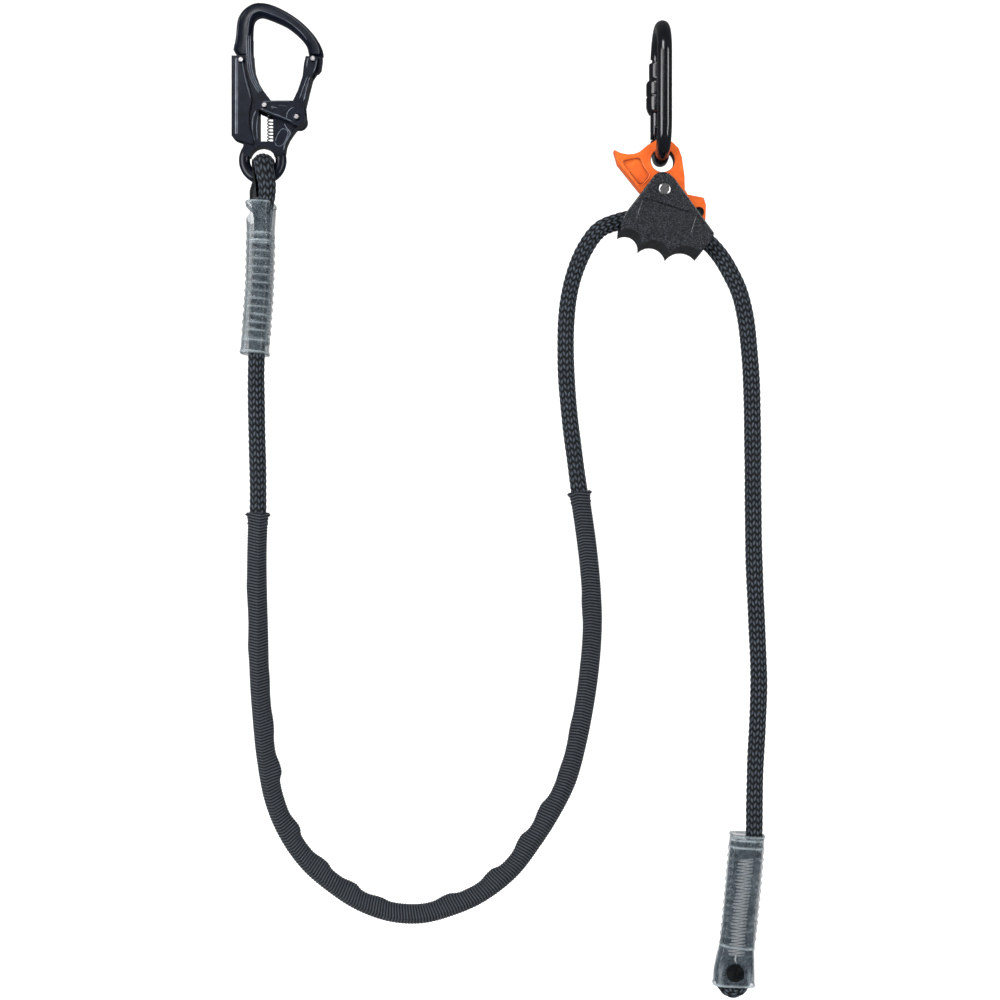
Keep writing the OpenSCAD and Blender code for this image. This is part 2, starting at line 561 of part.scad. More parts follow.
hook_body();
hook_gate();
hook_palm_lever();
gate_pivot_rivet();
gate_nose_rivet();
gate_tail_pin();
lever_pivot_rivet();
gate_spring();
lever_spring();
rope();
hook_thimble();
hook_end_stitching();
hook_end_sleeve();
webbing_protector();
end_stitching();
end_sleeve();
end_stop_screw();
end_stop_nut();
grab_housing();
cam_lever();
cam_rivet();
cam_spring();
cam_bushes();
carabiner_body();
carabiner_gate();
carabiner_hinge_pin();
carabiner_lock_sleeve();
carabiner_gate_spring();
carabiner_plunger();
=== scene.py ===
# %% [markdown]
# # A hanging rope lanyard
# The object is a rope with a hook at one end, a webbing sleeve round its middle, a rope grab
# with a carabiner, and a sewn eye with a stop screw. The metal is already modelled, to size,
# as a fixed frame of rigid bodies. Here the soft parts are made, and every part gets its finish.

# %% Load the fixed frame
import json
import math

import bmesh
import bpy
import numpy as np
from mathutils import Matrix, Vector

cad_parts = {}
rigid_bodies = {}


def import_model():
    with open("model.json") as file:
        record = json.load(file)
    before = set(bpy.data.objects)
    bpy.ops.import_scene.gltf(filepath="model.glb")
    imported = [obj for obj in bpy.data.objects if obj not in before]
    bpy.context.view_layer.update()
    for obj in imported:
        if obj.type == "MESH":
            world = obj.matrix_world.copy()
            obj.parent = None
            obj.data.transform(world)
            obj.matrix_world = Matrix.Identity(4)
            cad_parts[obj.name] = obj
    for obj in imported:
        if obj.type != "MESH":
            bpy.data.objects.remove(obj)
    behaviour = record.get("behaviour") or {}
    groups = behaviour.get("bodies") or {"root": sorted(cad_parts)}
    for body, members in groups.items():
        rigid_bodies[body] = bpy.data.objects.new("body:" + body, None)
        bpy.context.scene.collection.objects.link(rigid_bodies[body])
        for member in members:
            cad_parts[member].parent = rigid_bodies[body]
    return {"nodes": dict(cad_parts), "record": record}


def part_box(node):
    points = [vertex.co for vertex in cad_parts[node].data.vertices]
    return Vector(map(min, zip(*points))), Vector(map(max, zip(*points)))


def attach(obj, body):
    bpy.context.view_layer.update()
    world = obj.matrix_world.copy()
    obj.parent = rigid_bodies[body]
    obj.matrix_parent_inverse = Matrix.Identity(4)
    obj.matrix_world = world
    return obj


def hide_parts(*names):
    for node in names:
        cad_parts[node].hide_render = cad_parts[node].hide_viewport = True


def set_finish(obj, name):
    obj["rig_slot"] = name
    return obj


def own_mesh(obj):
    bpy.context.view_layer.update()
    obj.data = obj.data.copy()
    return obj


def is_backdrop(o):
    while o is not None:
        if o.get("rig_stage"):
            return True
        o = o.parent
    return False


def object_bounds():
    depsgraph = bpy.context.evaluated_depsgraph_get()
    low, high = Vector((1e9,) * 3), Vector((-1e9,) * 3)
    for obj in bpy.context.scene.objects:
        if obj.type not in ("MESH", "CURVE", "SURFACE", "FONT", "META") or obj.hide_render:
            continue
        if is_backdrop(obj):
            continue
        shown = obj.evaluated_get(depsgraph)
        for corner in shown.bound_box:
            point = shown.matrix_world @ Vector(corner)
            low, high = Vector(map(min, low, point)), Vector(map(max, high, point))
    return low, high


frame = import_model()
NODES = frame["nodes"]
cad_low, cad_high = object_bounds()
MM = 0.001

# %% [markdown]
# ## The camera
# A lanyard hung against a wall is seen straight on. A 50 mm lens on a 36 mm sensor shows a
# width of 0.72 of its distance, so the distance follows from the 750 mm that has to fit.

# %% Camera
LENS, SENSOR = 50.0, 36.0
VIEW_WIDTH = 0.750
camera_data = bpy.data.cameras.new("camera")
camera_data.lens, camera_data.sensor_width = LENS, SENSOR
camera = bpy.data.objects.new("camera", camera_data)
camera.location = (0.1785, -VIEW_WIDTH * LENS / SENSOR, -0.3618)
camera.rotation_euler = (math.radians(90), 0, 0)
bpy.context.scene.collection.objects.link(camera)
bpy.context.scene.camera = camera
print("camera distance", round(-camera.location.y, 3), "m")

# %% [markdown]
# ## Sweeping a section along a route
# Rope, webbing and sleeves are all a section carried along a line. A curve object with a bevel
# could do it, but it has one section all along. Building the rings of a mesh in numpy lets the
# section change from point to point, so braid, ribs and creases are real shape.

# %% Helpers for routes
def through(points_mm, step_mm):
    """A smooth line through the points, as points step_mm apart, in metres."""
    p = np.array(points_mm, float) * MM
    ends = np.vstack([2 * p[0] - p[1], p, 2 * p[-1] - p[-2]])
    line = [p[0]]
    for a, b, c, d in zip(ends, ends[1:], ends[2:], ends[3:]):
        t1 = (c - a) / (np.linalg.norm(c - b) + np.linalg.norm(b - a)) * np.linalg.norm(c - b)
        t2 = (d - b) / (np.linalg.norm(d - c) + np.linalg.norm(c - b)) * np.linalg.norm(c - b)
        for t in np.linspace(0, 1, 13)[1:]:
            line.append((2 * t**3 - 3 * t**2 + 1) * b + (t**3 - 2 * t**2 + t) * t1
                        + (3 * t**2 - 2 * t**3) * c + (t**3 - t**2) * t2)
    line = np.array(line)
    far = distances(line)
    return at(line, far, np.linspace(0, far[-1], max(2, round(far[-1] / (step_mm * MM)) + 1)))


def distances(line):
    """How far along the line each of its points is."""
    return np.concatenate([[0], np.cumsum(np.linalg.norm(np.diff(line, axis=0), axis=1))])


def at(line, far, wanted):
    """Points of the line at the wanted distances."""
    return np.stack([np.interp(wanted, far, line[:, k]) for k in range(3)], 1)


def carried_frames(line, first):
    """Two directions square to the line at each point, carried along it without twist."""
    tangent = np.gradient(line, axis=0)
    tangent /= np.linalg.norm(tangent, axis=1)[:, None]
    u = np.zeros_like(line)
    v = np.array(first, float)
    for i, t in enumerate(tangent):
        v = v - v.dot(t) * t
        v /= np.linalg.norm(v)
        u[i] = v
    return u, np.cross(tangent, u)


def rings_round(line, u, v, wide, deep, angle):
    """A ring at each point of a line, reaching wide along u and deep along v."""
    return (line[:, None] + (wide * np.cos(angle))[..., None] * u[:, None]
            + (deep * np.sin(angle))[..., None] * v[:, None])


def wrapped(angle):
    """The same angle, between minus and plus half a turn."""
    return (angle + math.pi) % (2 * math.pi) - math.pi


print("helpers ready")

# %% [markdown]
# ## From rings to a mesh
# Two kinds of skin are enough for every tube here. One is a single closed skin, with a UV map in
# metres that a weave can follow. The other is a wall with an inside and an outside, which a hole
# can be punched through.

# %% Helpers for meshes
def linked(name, mesh):
    obj = bpy.data.objects.new(name, mesh)
    bpy.context.scene.collection.objects.link(obj)
    return obj


def mesh_from(name, vertices, faces):
    mesh = bpy.data.meshes.new(name)
    mesh.from_pydata(np.asarray(vertices).tolist(), [], [tuple(int(i) for i in f) for f in faces])
    mesh.update()
    mesh.shade_smooth()
    return linked(name, mesh)


def ring_faces(rows, around, base=0):
    """Quads between neighbouring rings of one tube."""
    i, j = np.meshgrid(np.arange(rows - 1), np.arange(around), indexing="ij")
    k = (j + 1) % around
    corners = [i * around + j, i * around + k, (i + 1) * around + k, (i + 1) * around + j]
    return (base + np.stack(corners, -1)).reshape(-1, 4)


def rod_faces(rows, around, base):
    """The quads of one tube, and a flat cap on each of its ends."""
    last = base + (rows - 1) * around
    caps = [list(range(base + around - 1, base - 1, -1)), list(range(last, last + around))]
    return ring_faces(rows, around, base).tolist() + caps


def tube(name, rings, along, turns, girth, capped=False):
    """One skin through the rings, with a UV map in metres: round the tube and along it. along holds
    one distance for each ring, or one for each point of each ring."""
    rows, around = rings.shape[:2]
    vertices = rings.reshape(-1, 3)
    faces = ring_faces(rows, around).tolist()
    if capped:
        vertices = np.vstack([vertices, rings[0].mean(0), rings[-1].mean(0)])
        n = rows * around
        faces += [[(j + 1) % around, j, n] for j in range(around)]
        faces += [[n - around + j, n - around + (j + 1) % around, n + 1] for j in range(around)]
    obj = mesh_from(name, vertices, faces)
    across = np.tile(turns * girth, rows)
    length = np.broadcast_to(np.reshape(along, (rows, -1)), (rows, around)).ravel()
    if capped:
        across, length = np.append(across, [0, 0]), np.append(length, [along[0], along[-1]])
    index = np.zeros(len(obj.data.loops), int)
    obj.data.loops.foreach_get("vertex_index", index)
    uv = np.stack([across[index], length[index]], 1)
    wraps = np.zeros(len(obj.data.loops), bool)
    wraps[:4 * (rows - 1) * around] = (np.arange(4 * (rows - 1) * around) // 4 % around == around - 1)
    uv[wraps & (uv[:, 0] < girth / 2), 0] += girth
    layer = obj.data.uv_layers.new(name="weave")
    layer.data.foreach_set("uv", uv.astype(np.float32).ravel())
    return obj


def shell(name, outer, inner, keep=None, marks=None):
    """A wall between two skins with the same rings, with any cells left out of keep cut through.
    marks is a value for each point of a skin, kept on the mesh for a shader to read."""
    rows, around = outer.shape[:2]
    n = rows * around
    keep = np.ones((rows - 1, around), bool) if keep is None else keep
    cells = ring_faces(rows, around).reshape(rows - 1, around, 4)
    faces = []
    for i in range(rows - 1):
        for j in range(around):
            if not keep[i, j]:
                continue
            a, b, c, d = cells[i, j]
            faces += [(a, b, c, d), (n + d, n + c, n + b, n + a)]
            sides = (((b, a), i > 0 and keep[i - 1, j]), ((d, c), i < rows - 2 and keep[i + 1, j]),
                     ((a, d), keep[i, j - 1]), ((c, b), keep[i, (j + 1) % around]))
            for (p, q), hidden in sides:
                if not hidden:
                    faces.append((p, q, n + q, n + p))
    obj = mesh_from(name, np.vstack([outer.reshape(-1, 3), inner.reshape(-1, 3)]), faces)
    if marks is not None:
        layer = obj.data.attributes.new("marks", "FLOAT", "POINT")
        layer.data.foreach_set("value", np.tile(marks.ravel(), 2).astype(np.float32))
    clean = bmesh.new()
    clean.from_mesh(obj.data)
    bmesh.ops.delete(clean, geom=[v for v in clean.verts if not v.link_faces], context="VERTS")
    bmesh.ops.recalc_face_normals(clean, faces=clean.faces)
    clean.to_mesh(obj.data)
    clean.free()
    return obj


def bump_at(x, centre, width):
    """A smooth hump of height 1."""
    return np.exp(-((x - centre) / width) ** 2)


print("mesh helpers ready")

# %% [markdown]
# ## Where the rope runs
# One rope makes both eyes. It starts behind the hook's clear sleeve, goes over the ring's bar,
# down round the U, up through the grab and down to the end eye. The points are the frame's own,
# so that the rope lies where its plain solid does.

# %% The rope's route, in millimetres
ROPE_D = 12.4
BAR = (0.6, -120.9)
EYE_R = 12.4
eye_back = [(-3.0, 6.3, -247), (-2.4, 6.3, -228), (-1.2, 6.3, -205), (-0.4, 6.3, -180),
            (-0.6, 6.5, -160), (-1.4, 7.6, -147), (-3.4, 9.8, -137), (-3.9, 11.6, -129)]
eye_bend = [(BAR[0] - 2.2 * math.sin(a) ** 3, EYE_R * math.sin(a), BAR[1] + EYE_R * math.cos(a))
            for a in (math.radians(d) for d in np.arange(90, -91, -22.5))]
long_run = [
    (3.7, -11.6, -129), (4.0, -9.8, -137), (2.9, -7.6, -147), (1.8, -6.5, -160),
    (1.2, -6.3, -180), (0.1, -6.3, -205), (-1.6, -6.3, -228), (-2.7, -6.1, -247),
    (-3.6, -4.6, -268), (-3.8, -2.2, -292), (-3.6, -0.6, -317), (-3, 0, -345), (-3, 0, -371),
    (-3.8, 0, -405), (-3.4, 0, -435), (-2.6, 0, -465), (-1.9, 0, -495), (0.2, 0, -525),
    (3.4, 0, -556), (9.4, 0, -587), (20, 0, -612), (34.9, 0, -633), (52.5, 0, -648.5),
    (73, 0, -662), (96, 0, -670.5), (119, 0, -672), (141, 0, -666.5), (163.5, 0, -656.5),
    (186, 0, -639), (203, 0, -617), (217, 0, -595), (228.8, 0, -571), (236.6, 0, -542),
    (242.3, 0, -512), (246.2, 0, -482), (247.8, 0, -452), (246.4, 0, -422), (243.2, 0, -392),
    (237.9, 0, -355), (234.8, 0, -332), (231, 0, -302), (228.4, 0, -272), (227.7, 0, -248),
    (228.2, 0, -227), (230.4, 0, -208), (235, 0, -190), (242.5, 0, -173), (253, 0, -159.2),
    (266.2, 0, -153.4), (280.3, 0, -150.4), (294.7, 0, -150.4), (308.8, 0, -153.4),
    (322, 0, -159.2), (333.7, 0, -167.7), (343.3, 0, -178.4), (350.8, 0, -190.5),
    (358, 0, -206), (362.6, 0, -225), (365, 0, -245), (367, 0, -272), (368, 0, -317),
    (368.3, 0, -362), (369, 0, -407), (370.9, 0, -452), (372.6, 0, -497), (371.6, 0, -530),
    (370, 0, -560), (369.3, 0, -590), (369, 0, -614), (367.2, 0, -636), (364.6, 0, -660),
    (362.4, 0, -685), (361.6, 0, -700), (361.8, 0, -714), (360.6, 0, -721)]
end_bend = [(357.6, 0, -726.4), (353.2, 0, -728.6), (348.8, 0, -726.4), (345.8, 0, -721),
            (344.8, 0, -714), (347.2, 0, -700), (349.6, 0, -685), (352, 0, -660),
            (354.6, 0, -636), (356.4, 0, -616)]
PROTECTED = (12, 38)        # points of long_run at the two ends of the webbing
rope_line = through(eye_back + eye_bend + long_run + end_bend, 0.5)
rope_far = distances(rope_line)


def far_of(point_mm):
    """How far along the rope its nearest point to a given one is."""
    return rope_far[np.argmin(np.linalg.norm(rope_line - np.array(point_mm) * MM, axis=1))]


loop_top = far_of(eye_bend[4])
web_ends = [far_of(long_run[k]) for k in PROTECTED]
print("rope", round(rope_far[-1], 3), "m; webbing from", [round(x, 3) for x in web_ends])

# %% [markdown]
# ## The braided cover
# The rope's cover is a herringbone braid: sixteen columns of short strokes round the rope, each
# column leaning the other way from its neighbours. Bump alone leaves a smooth outline, so the
# strokes are raised in the mesh. Under the webbing nobody sees them, and the rings lie further apart.

# %% Braid relief
BRAID_COLUMNS = 16
STROKE_PITCH = 4.9 * MM
STROKE_LEAN = 0.5           # of a pitch, across one column
BRAID_DEPTH = 0.8 * MM
RING_STEP = 0.82 * MM
OUT_OF_SIGHT = 30 * MM      # this far inside the webbing's ends
MELTED_TIP = 4 * MM
SEWN_LEG = 108 * MM         # the part of the end eye's second leg that lies against the first


def braid_height(turn, along):
    """Height of the braid, 0 to 1, from a share of a turn and a distance along the rope."""
    column = turn * BRAID_COLUMNS
    k = np.floor(column)
    x = column - k - 0.5
    lean = np.where(k % 2 == 0, 1.0, -1.0)
    stroke = along / STROKE_PITCH + lean * STROKE_LEAN * x + 0.25 * (k % 2)
    p = stroke - np.floor(stroke) - 0.5
    return (1 - np.abs(2 * p) ** 2.4) * (1 - 0.75 * np.abs(2 * x) ** 3)


def under_webbing(far):
    return (far > web_ends[0] + OUT_OF_SIGHT) & (far < web_ends[1] - OUT_OF_SIGHT)


def rope_piece(name, start, end, around=56):
    """A stretch of the braided rope between two distances along it."""
    every = np.arange(start, end, RING_STEP)
    hidden = under_webbing(every)
    wanted = np.append(every[~hidden | (np.arange(len(every)) % 5 == 0)], end)
    line = at(rope_line, rope_far, wanted)
    rows = [np.searchsorted(rope_far, x) for x in np.minimum(wanted, rope_far[-1])]
    u, v = rope_u[rows], rope_v[rows]
    turns = np.arange(around) / around
    relief = braid_height(turns[None, :], wanted[:, None]) * BRAID_DEPTH
    relief = np.where(under_webbing(wanted)[:, None], 0, relief)
    radius = ROPE_D / 2 * MM - BRAID_DEPTH * 0.75 + relief
    radius *= 1 + 0.018 * np.sin(wanted * 97)[:, None] * np.sin(wanted * 41 + 1)[:, None]
    for tip, melted in ((start, start < MM), (end, end > rope_far[-1] - MM)):
        if melted:
            near = (1 - np.abs(wanted - tip) / MELTED_TIP).clip(0)
            radius = radius * np.sqrt(np.clip(1 - near ** 2, 0.05, 1))[:, None]
    angle = turns * 2 * math.pi
    flattened = bump_at(wanted, loop_top, 24 * MM)      # a rope spreads where it is bent over a bar
    leaning = 2.2 * bump_at(wanted, loop_top + 26 * MM, 12 * MM)
    leaning += 1.4 * bump_at(wanted, loop_top, 14 * MM)
    leaning += 1.7 * np.clip((wanted - rope_far[-1] + SEWN_LEG) / (20 * MM), 0, 1)
    centre = line + np.outer(leaning, (MM, 0, 0))
    wide, deep = 1 + 0.22 * flattened[:, None], 1 - 0.04 * flattened[:, None]
    rings = rings_round(centre, u, v, radius * wide, radius * deep, angle)
    return tube(name, rings, wanted, turns, math.pi * ROPE_D * MM, capped=True), line


rope_u, rope_v = carried_frames(rope_line, (1, 0, 0))
main_rope, main_line = rope_piece("main_rope", loop_top, rope_far[-1])
back_leg, back_line = rope_piece("eye_back_leg", 0.0, loop_top)
print("main rope", len(main_rope.data.polygons), "faces, back leg", len(back_leg.data.polygons))

# %% [markdown]
# ## The rope on its body
# Both stretches start on top of the loop that lies over the ring's bar. They ride on the rope's
# body, and together they stand for the frame's plain rope solid, which is hidden.

# %% The rope rides on its body
for piece in (main_rope, back_leg):
    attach(piece, "rope")
    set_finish(piece, "rope")
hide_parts("rope")

# %% [markdown]
# ## The webbing protector
# A tube of flat webbing is slipped over the rope where it would chafe. Woven ribs cross it every
# 2.2 mm, one long fold line wanders round it, and inside the bend the spare cloth is pushed up
# into puckers. Cloth simulation could find such puckers, but not these ones, so each is listed
# as a hump in the radius.

# %% Webbing protector
RIB_PITCH = 2.2 * MM
WEB_R = 7.2 * MM
WEB_INSIDE = 6.5 * MM
WEB_AROUND = 48             # points on each ring of the webbing
# Puckers: x, z in mm, height in mm, length along the tube in mm, lean to the front in radians
puckers = [(-10, -425, 0.7, 16, 2.6), (-11, -470, 0.8, 13, 2.8), (4, -500, 0.9, 9, 0.5),
           (7, -532, 1.3, 9, 0.3), (13.9, -564, 3.4, 8, 0.3), (22, -588, 1.2, 6, 0.9),
           (29.4, -605, 3.0, 7, 0.2), (47.8, -633, 3.3, 8, 0.3), (59, -643, 1.3, 6, 0.8),
           (70.2, -649, 2.8, 7, 0.2), (90.3, -660, 2.4, 7, 0.4), (113, -664, 1.0, 8, 0.8),
           (140, -658, 2.9, 8, 0.3), (156, -651, 1.0, 6, 0.8), (171, -639, 3.2, 8, 0.3),
           (195, -615, 2.8, 8, 0.3), (209, -591, 2.6, 9, 0.3), (221, -560, 1.5, 10, 0.6),
           (231, -530, 0.9, 9, 0.4), (238, -480, 0.9, 12, 0.9), (239, -440, 0.8, 10, 0.2)]


def fold_angle(far):
    """Where the tube's fold line lies: its place across the front, from the bend's outside."""
    share = (far - web_ends[0]) / (web_ends[1] - web_ends[0])
    across = np.interp(share, [0, 0.06, 0.2, 0.45, 0.62, 0.8, 1],
                       [0.70, 0.66, 0.45, 0.38, 0.42, 0.6, 0.66])
    return math.pi - np.arccos(1 - 2 * across)


def rib_place(far, angle):
    """The ribs meet at the fold line in a shallow V, so each point counts its ribs from there."""
    return far + 0.2 * WEB_R * np.abs(wrapped(angle - fold_angle(far)))


def webbing_radius(far, angle):
    """Radius of the webbing's outside; angle 0 is inside the bend, a quarter turn is the front."""
    side = wrapped(angle)
    fold = fold_angle(far)
    radius = WEB_R + 0.00075 * bump_at(side, fold, 0.17) - 0.0005 * bump_at(side, fold - 0.62, 0.4)
    radius -= 0.0004 * bump_at(side, fold + 0.62, 0.4)
    radius += 0.0006 * bump_at(side, -2.3, 0.2) - 0.0003 * bump_at(side, -1.4, 0.5)
    for x, z, height, length, lean in puckers:
        away = far - far_of((x, 0, z))
        bend = side - lean - away / (30 * MM)
        hump = bump_at(away, 0, length * MM) * bump_at(bend, 0, 0.62)
        dip = bump_at(away, 1.25 * length * MM, length * MM * 0.6) * bump_at(bend, 0.1, 0.55)
        radius += height * MM * (hump - 0.13 * dip)
        radius += 0.09 * height * MM * np.sin(away / (1.9 * MM) + 2 * bend) * hump
    radius += 0.00022 * np.cos(2 * math.pi * rib_place(far, angle) / RIB_PITCH)
    for end in web_ends:
        near = np.abs(far - end)
        radius += 0.0005 * (near < 9 * MM) - 0.0004 * bump_at(near, 6.5 * MM, 0.7 * MM)
        radius += 0.0013 * bump_at(near, 1.7 * MM, 1.2 * MM) * np.abs(np.cos(side)) ** 4
        radius += 0.0005 * bump_at(near, 1.5 * MM, 1.2 * MM)
    return np.maximum(radius, WEB_INSIDE + 0.35 * MM)


def flat_frames(far):
    """At each distance: the rope's centre, the way to the inside of the bend, and the front."""
    line = at(rope_line, rope_far, far)
    ahead = at(rope_line, rope_far, far + 1 * MM) - at(rope_line, rope_far, far - 1 * MM)
    ahead /= np.linalg.norm(ahead, axis=1)[:, None]
    front = np.tile([0.0, -1.0, 0.0], (len(far), 1))
    front -= (front * ahead).sum(1)[:, None] * ahead
    front /= np.linalg.norm(front, axis=1)[:, None]
    return line, np.cross(front, ahead), front


web_far = np.arange(web_ends[0], web_ends[1], 0.55 * MM)
lining_far = web_far[::-10]
web_turns = np.arange(WEB_AROUND) / WEB_AROUND
web_angle = web_turns * 2 * math.pi
web_radius = webbing_radius(web_far[:, None], web_angle[None, :])
lining_radius = np.full((len(lining_far), WEB_AROUND), WEB_INSIDE)
outside = rings_round(*flat_frames(web_far), web_radius, web_radius, web_angle)
lining = rings_round(*flat_frames(lining_far), lining_radius, lining_radius, web_angle)
all_far = np.concatenate([web_far, lining_far, web_far[:1]])
web_girth = 2 * math.pi * WEB_R
webbing = tube("webbing_protector_cloth", np.concatenate([outside, lining, outside[:1]]),
               rib_place(all_far[:, None], web_angle[None, :]), web_turns, web_girth)
join = bmesh.new()
join.from_mesh(webbing.data)
bmesh.ops.remove_doubles(join, verts=join.verts, dist=1e-7)
join.to_mesh(webbing.data)
join.free()
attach(webbing, "rope")
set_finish(webbing, "webbing")
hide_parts("webbing_protector")

# %% [markdown]
# ## The clear sleeves
# Both sewn eyes are covered by a clear plastic tube, ribbed like a hose, with smooth ends. The
# hook's has a hole punched through its left edge, and the end eye's widens round the screw. A
# wall between an outer and an inner skin gives the ribs, the rims and the punched hole alike.

# %% Clear sleeves
def soft_power(c):
    return np.sign(c) * np.abs(c) ** 0.6


def sleeve_skins(line_mm, half_wide, half_deep, relief, wall, around=56, step=0.62):
    """Outer and inner rings of a flattened tube; its half sizes in mm are functions of the distance."""
    line = through(line_mm, step)
    far = distances(line)
    u, v = carried_frames(line, (1, 0, 0))
    angle = np.arange(around) / around * 2 * math.pi
    flat_x, flat_y = soft_power(np.cos(angle)), soft_power(np.sin(angle))
    skins = []
    for inset in (0.0, wall):
        raised = relief(far) if inset == 0 else 0 * far
        w = (half_wide(far / MM) - inset)[:, None] * MM + raised[:, None]
        d = (half_deep(far / MM) - inset)[:, None] * MM + raised[:, None]
        skins.append(line[:, None] + (w * flat_x)[..., None] * u[:, None]
                     + (d * flat_y)[..., None] * v[:, None])
    return skins[0], skins[1], far, angle


def ribs(far, start, end, pitch, height):
    """Rounded ribs between two distances, in mm, and nothing outside them."""
    x = far / MM
    window = np.clip((x - start) / 2, 0, 1) * np.clip((end - x) / 2, 0, 1)
    return height * MM * window * np.abs(np.cos(math.pi * (x - start) / pitch)) ** 3


def rim(far, places, height=0.45, width=0.75):
    return sum(height * MM * bump_at(far / MM, p, width) for p in places)


def band(x, low, high, soft=0.08):
    """1 between low and high, fading out over soft on both sides."""
    return np.clip((x - low) / soft + 0.5, 0, 1) * np.clip((high - x) / soft + 0.5, 0, 1)


def painted_sleeve_highlights(far, angle, rib_span, pitch, rims, rib_where, streaks, seed):
    """How pale each point of a sleeve is, 0 to 1: painted highlights on ribs, rims and lengthwise streaks.
    """
    x, side = far[:, None] / MM, np.cos(angle)[None, :]
    crests = np.abs(np.cos(math.pi * (x - rib_span[0]) / pitch)) ** 9
    rib = 0.6 * band(x, *rib_span, 2) * crests * rib_where(side)
    edge = sum(0.9 * bump_at(x, place, 0.9) for place in rims)
    streak = sum(strength * bump_at(side, place, width) for place, width, strength in streaks)
    rng = np.random.default_rng(seed)
    patch = rng.uniform(0, 1, (len(far) // 5 + 2, len(angle) // 3 + 2))
    patch = np.repeat(np.repeat(patch, 5, 0), 3, 1)[:len(far), :len(angle)]
    return np.clip(np.maximum(np.maximum(rib, edge), streak) * (0.7 + 0.5 * patch), 0, 1)


SLEEVE_RIBS = 5.9           # mm from rib to rib
hook_outer, hook_inner, far, angle = sleeve_skins(
    [(-0.6, 0, -140), (-0.8, 0, -149), (-0.9, 0, -162), (-1.2, 0, -180), (-2.0, 0, -205),
     (-3.6, 0, -228), (-4.8, 0, -244), (-5.5, 0, -253)],
    lambda x: np.interp(x, [0, 8, 20, 60, 100, 108, 115], [10.5, 10.2, 9.7, 9.6, 9.7, 9.9, 10.6]),
    lambda x: np.interp(x, [0, 11, 24, 30, 115], [17.4, 15.6, 14.3, 13.7, 13.7]),
    lambda f: ribs(f, 25, 102, SLEEVE_RIBS, 0.7) + rim(f, [1, 23.5, 29, 103, 111.5], 0.35), wall=0.7)
cell_far = (far[:-1] + far[1:]) / 2 / MM
cell_side = np.abs(wrapped(angle + angle[1] / 2 - math.pi))
hole_place, hole_half_long, hole_half_turn = 8.2, 5.0, 1.22      # mm, mm and radians
punched = (((cell_far[:, None] - hole_place) / hole_half_long) ** 2
           + (cell_side[None, :] / hole_half_turn) ** 2 < 1)
hook_sleeve_highlights = painted_sleeve_highlights(far, angle, (25, 102), SLEEVE_RIBS, [0.6, 23.5, 29, 103, 111.5],
                        lambda side: np.clip((side + 0.45) * 6, 0, 1),
                        [(-0.42, 0.06, 0.75), (-0.93, 0.2, 0.5), (0.9, 0.06, 0.55)], seed=3)
hook_sleeve = shell("hook_eye_clear_sleeve", hook_outer, hook_inner, keep=~punched, marks=hook_sleeve_highlights)

end_outer, end_inner, far, angle = sleeve_skins(
    [(363.9, 0, -612), (363.2, 0, -622), (361.3, 0, -645), (359.0, 0, -670),
     (356.9, 0, -690), (354.9, 0, -706), (354.0, 0, -716), (353.6, 0, -725)],
    lambda x: np.interp(x, [0, 10, 30, 60, 84, 94, 104, 114],
                        [12.8, 12.7, 12.9, 12.8, 12.9, 14.2, 15.3, 15.6]),
    lambda x: 8.0 + 0 * x,
    lambda f: ribs(f, 6, 82, SLEEVE_RIBS, 0.75) + rim(f, [1.2, 9.5, 84, 112.8]), wall=0.7)
end_sleeve_highlights = painted_sleeve_highlights(far, angle, (12, 84), SLEEVE_RIBS, [1.2, 4, 9.5, 84, 112.8],
                       lambda side: 0.22 + 0.78 * np.clip((np.abs(side) - 0.72) * 8, 0, 1),
                       [(-0.97, 0.04, 0.45), (0.97, 0.04, 0.45)], seed=5)
side = np.cos(angle)[None, :]
# Painted highlights: two more pale streaks near the low end.
low_end = np.clip((far[:, None] / MM - 96) / 6, 0, 1)
low_highlight_streaks = bump_at(side, 0.55, 0.1) + bump_at(side, -0.6, 0.14)
end_sleeve_highlights = np.clip(end_sleeve_highlights + 0.6 * low_end * low_highlight_streaks, 0, 1)
end_sleeve = shell("end_eye_clear_sleeve", end_outer, end_inner, marks=end_sleeve_highlights)
for piece, node in ((hook_sleeve, "hook_end_sleeve"), (end_sleeve, "end_sleeve")):
    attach(piece, "rope")
    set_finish(piece, "clear_sleeve")
    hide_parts(node)
    print(piece.name, len(piece.data.polygons), "faces")

# %% [markdown]
# ## Stitching
# Bar tacks sew the two legs of each eye together: a thick pale thread crosses from leg to leg,
# row after row. Each row is a short tube that dives into the rope at both ends. A seeded random
# shift of the ends gives the ragged edges of real machine sewing.

# %% Bar tacks
def bar_tack(rows, across, normal, half_width, thread_r, seed):
    """Vertices and faces of rows of thread; rows are centres in metres."""
    rng = np.random.default_rng(seed)
    spans, sides = np.linspace(-1, 1, 7), 6
    vertices, faces = [], []
    for i, centre in enumerate(rows):
        left, right = half_width * (1 + rng.uniform(-0.2, 0.1, 2))
        slant = (0.42 if i % 2 else -0.42) * MM
        down = np.cross(across, normal)
        faces += rod_faces(len(spans), sides, len(vertices))
        for t in spans:
            # high in the middle and sunk at the ends
            lift = 0.55 * MM * (1 - t ** 4) - 0.75 * MM * t ** 6
            shift = slant * t + rng.uniform(-0.05, 0.05) * MM
            p = centre + across * (t * (right if t > 0 else left)) + normal * lift + down * shift
            for a in np.arange(sides) / sides * 2 * math.pi:
                vertices.append(p + thread_r * (math.cos(a) * normal + math.sin(a) * down))
    return vertices, faces


THREAD_R, TACK_PITCH = 0.5, 1.25        # mm


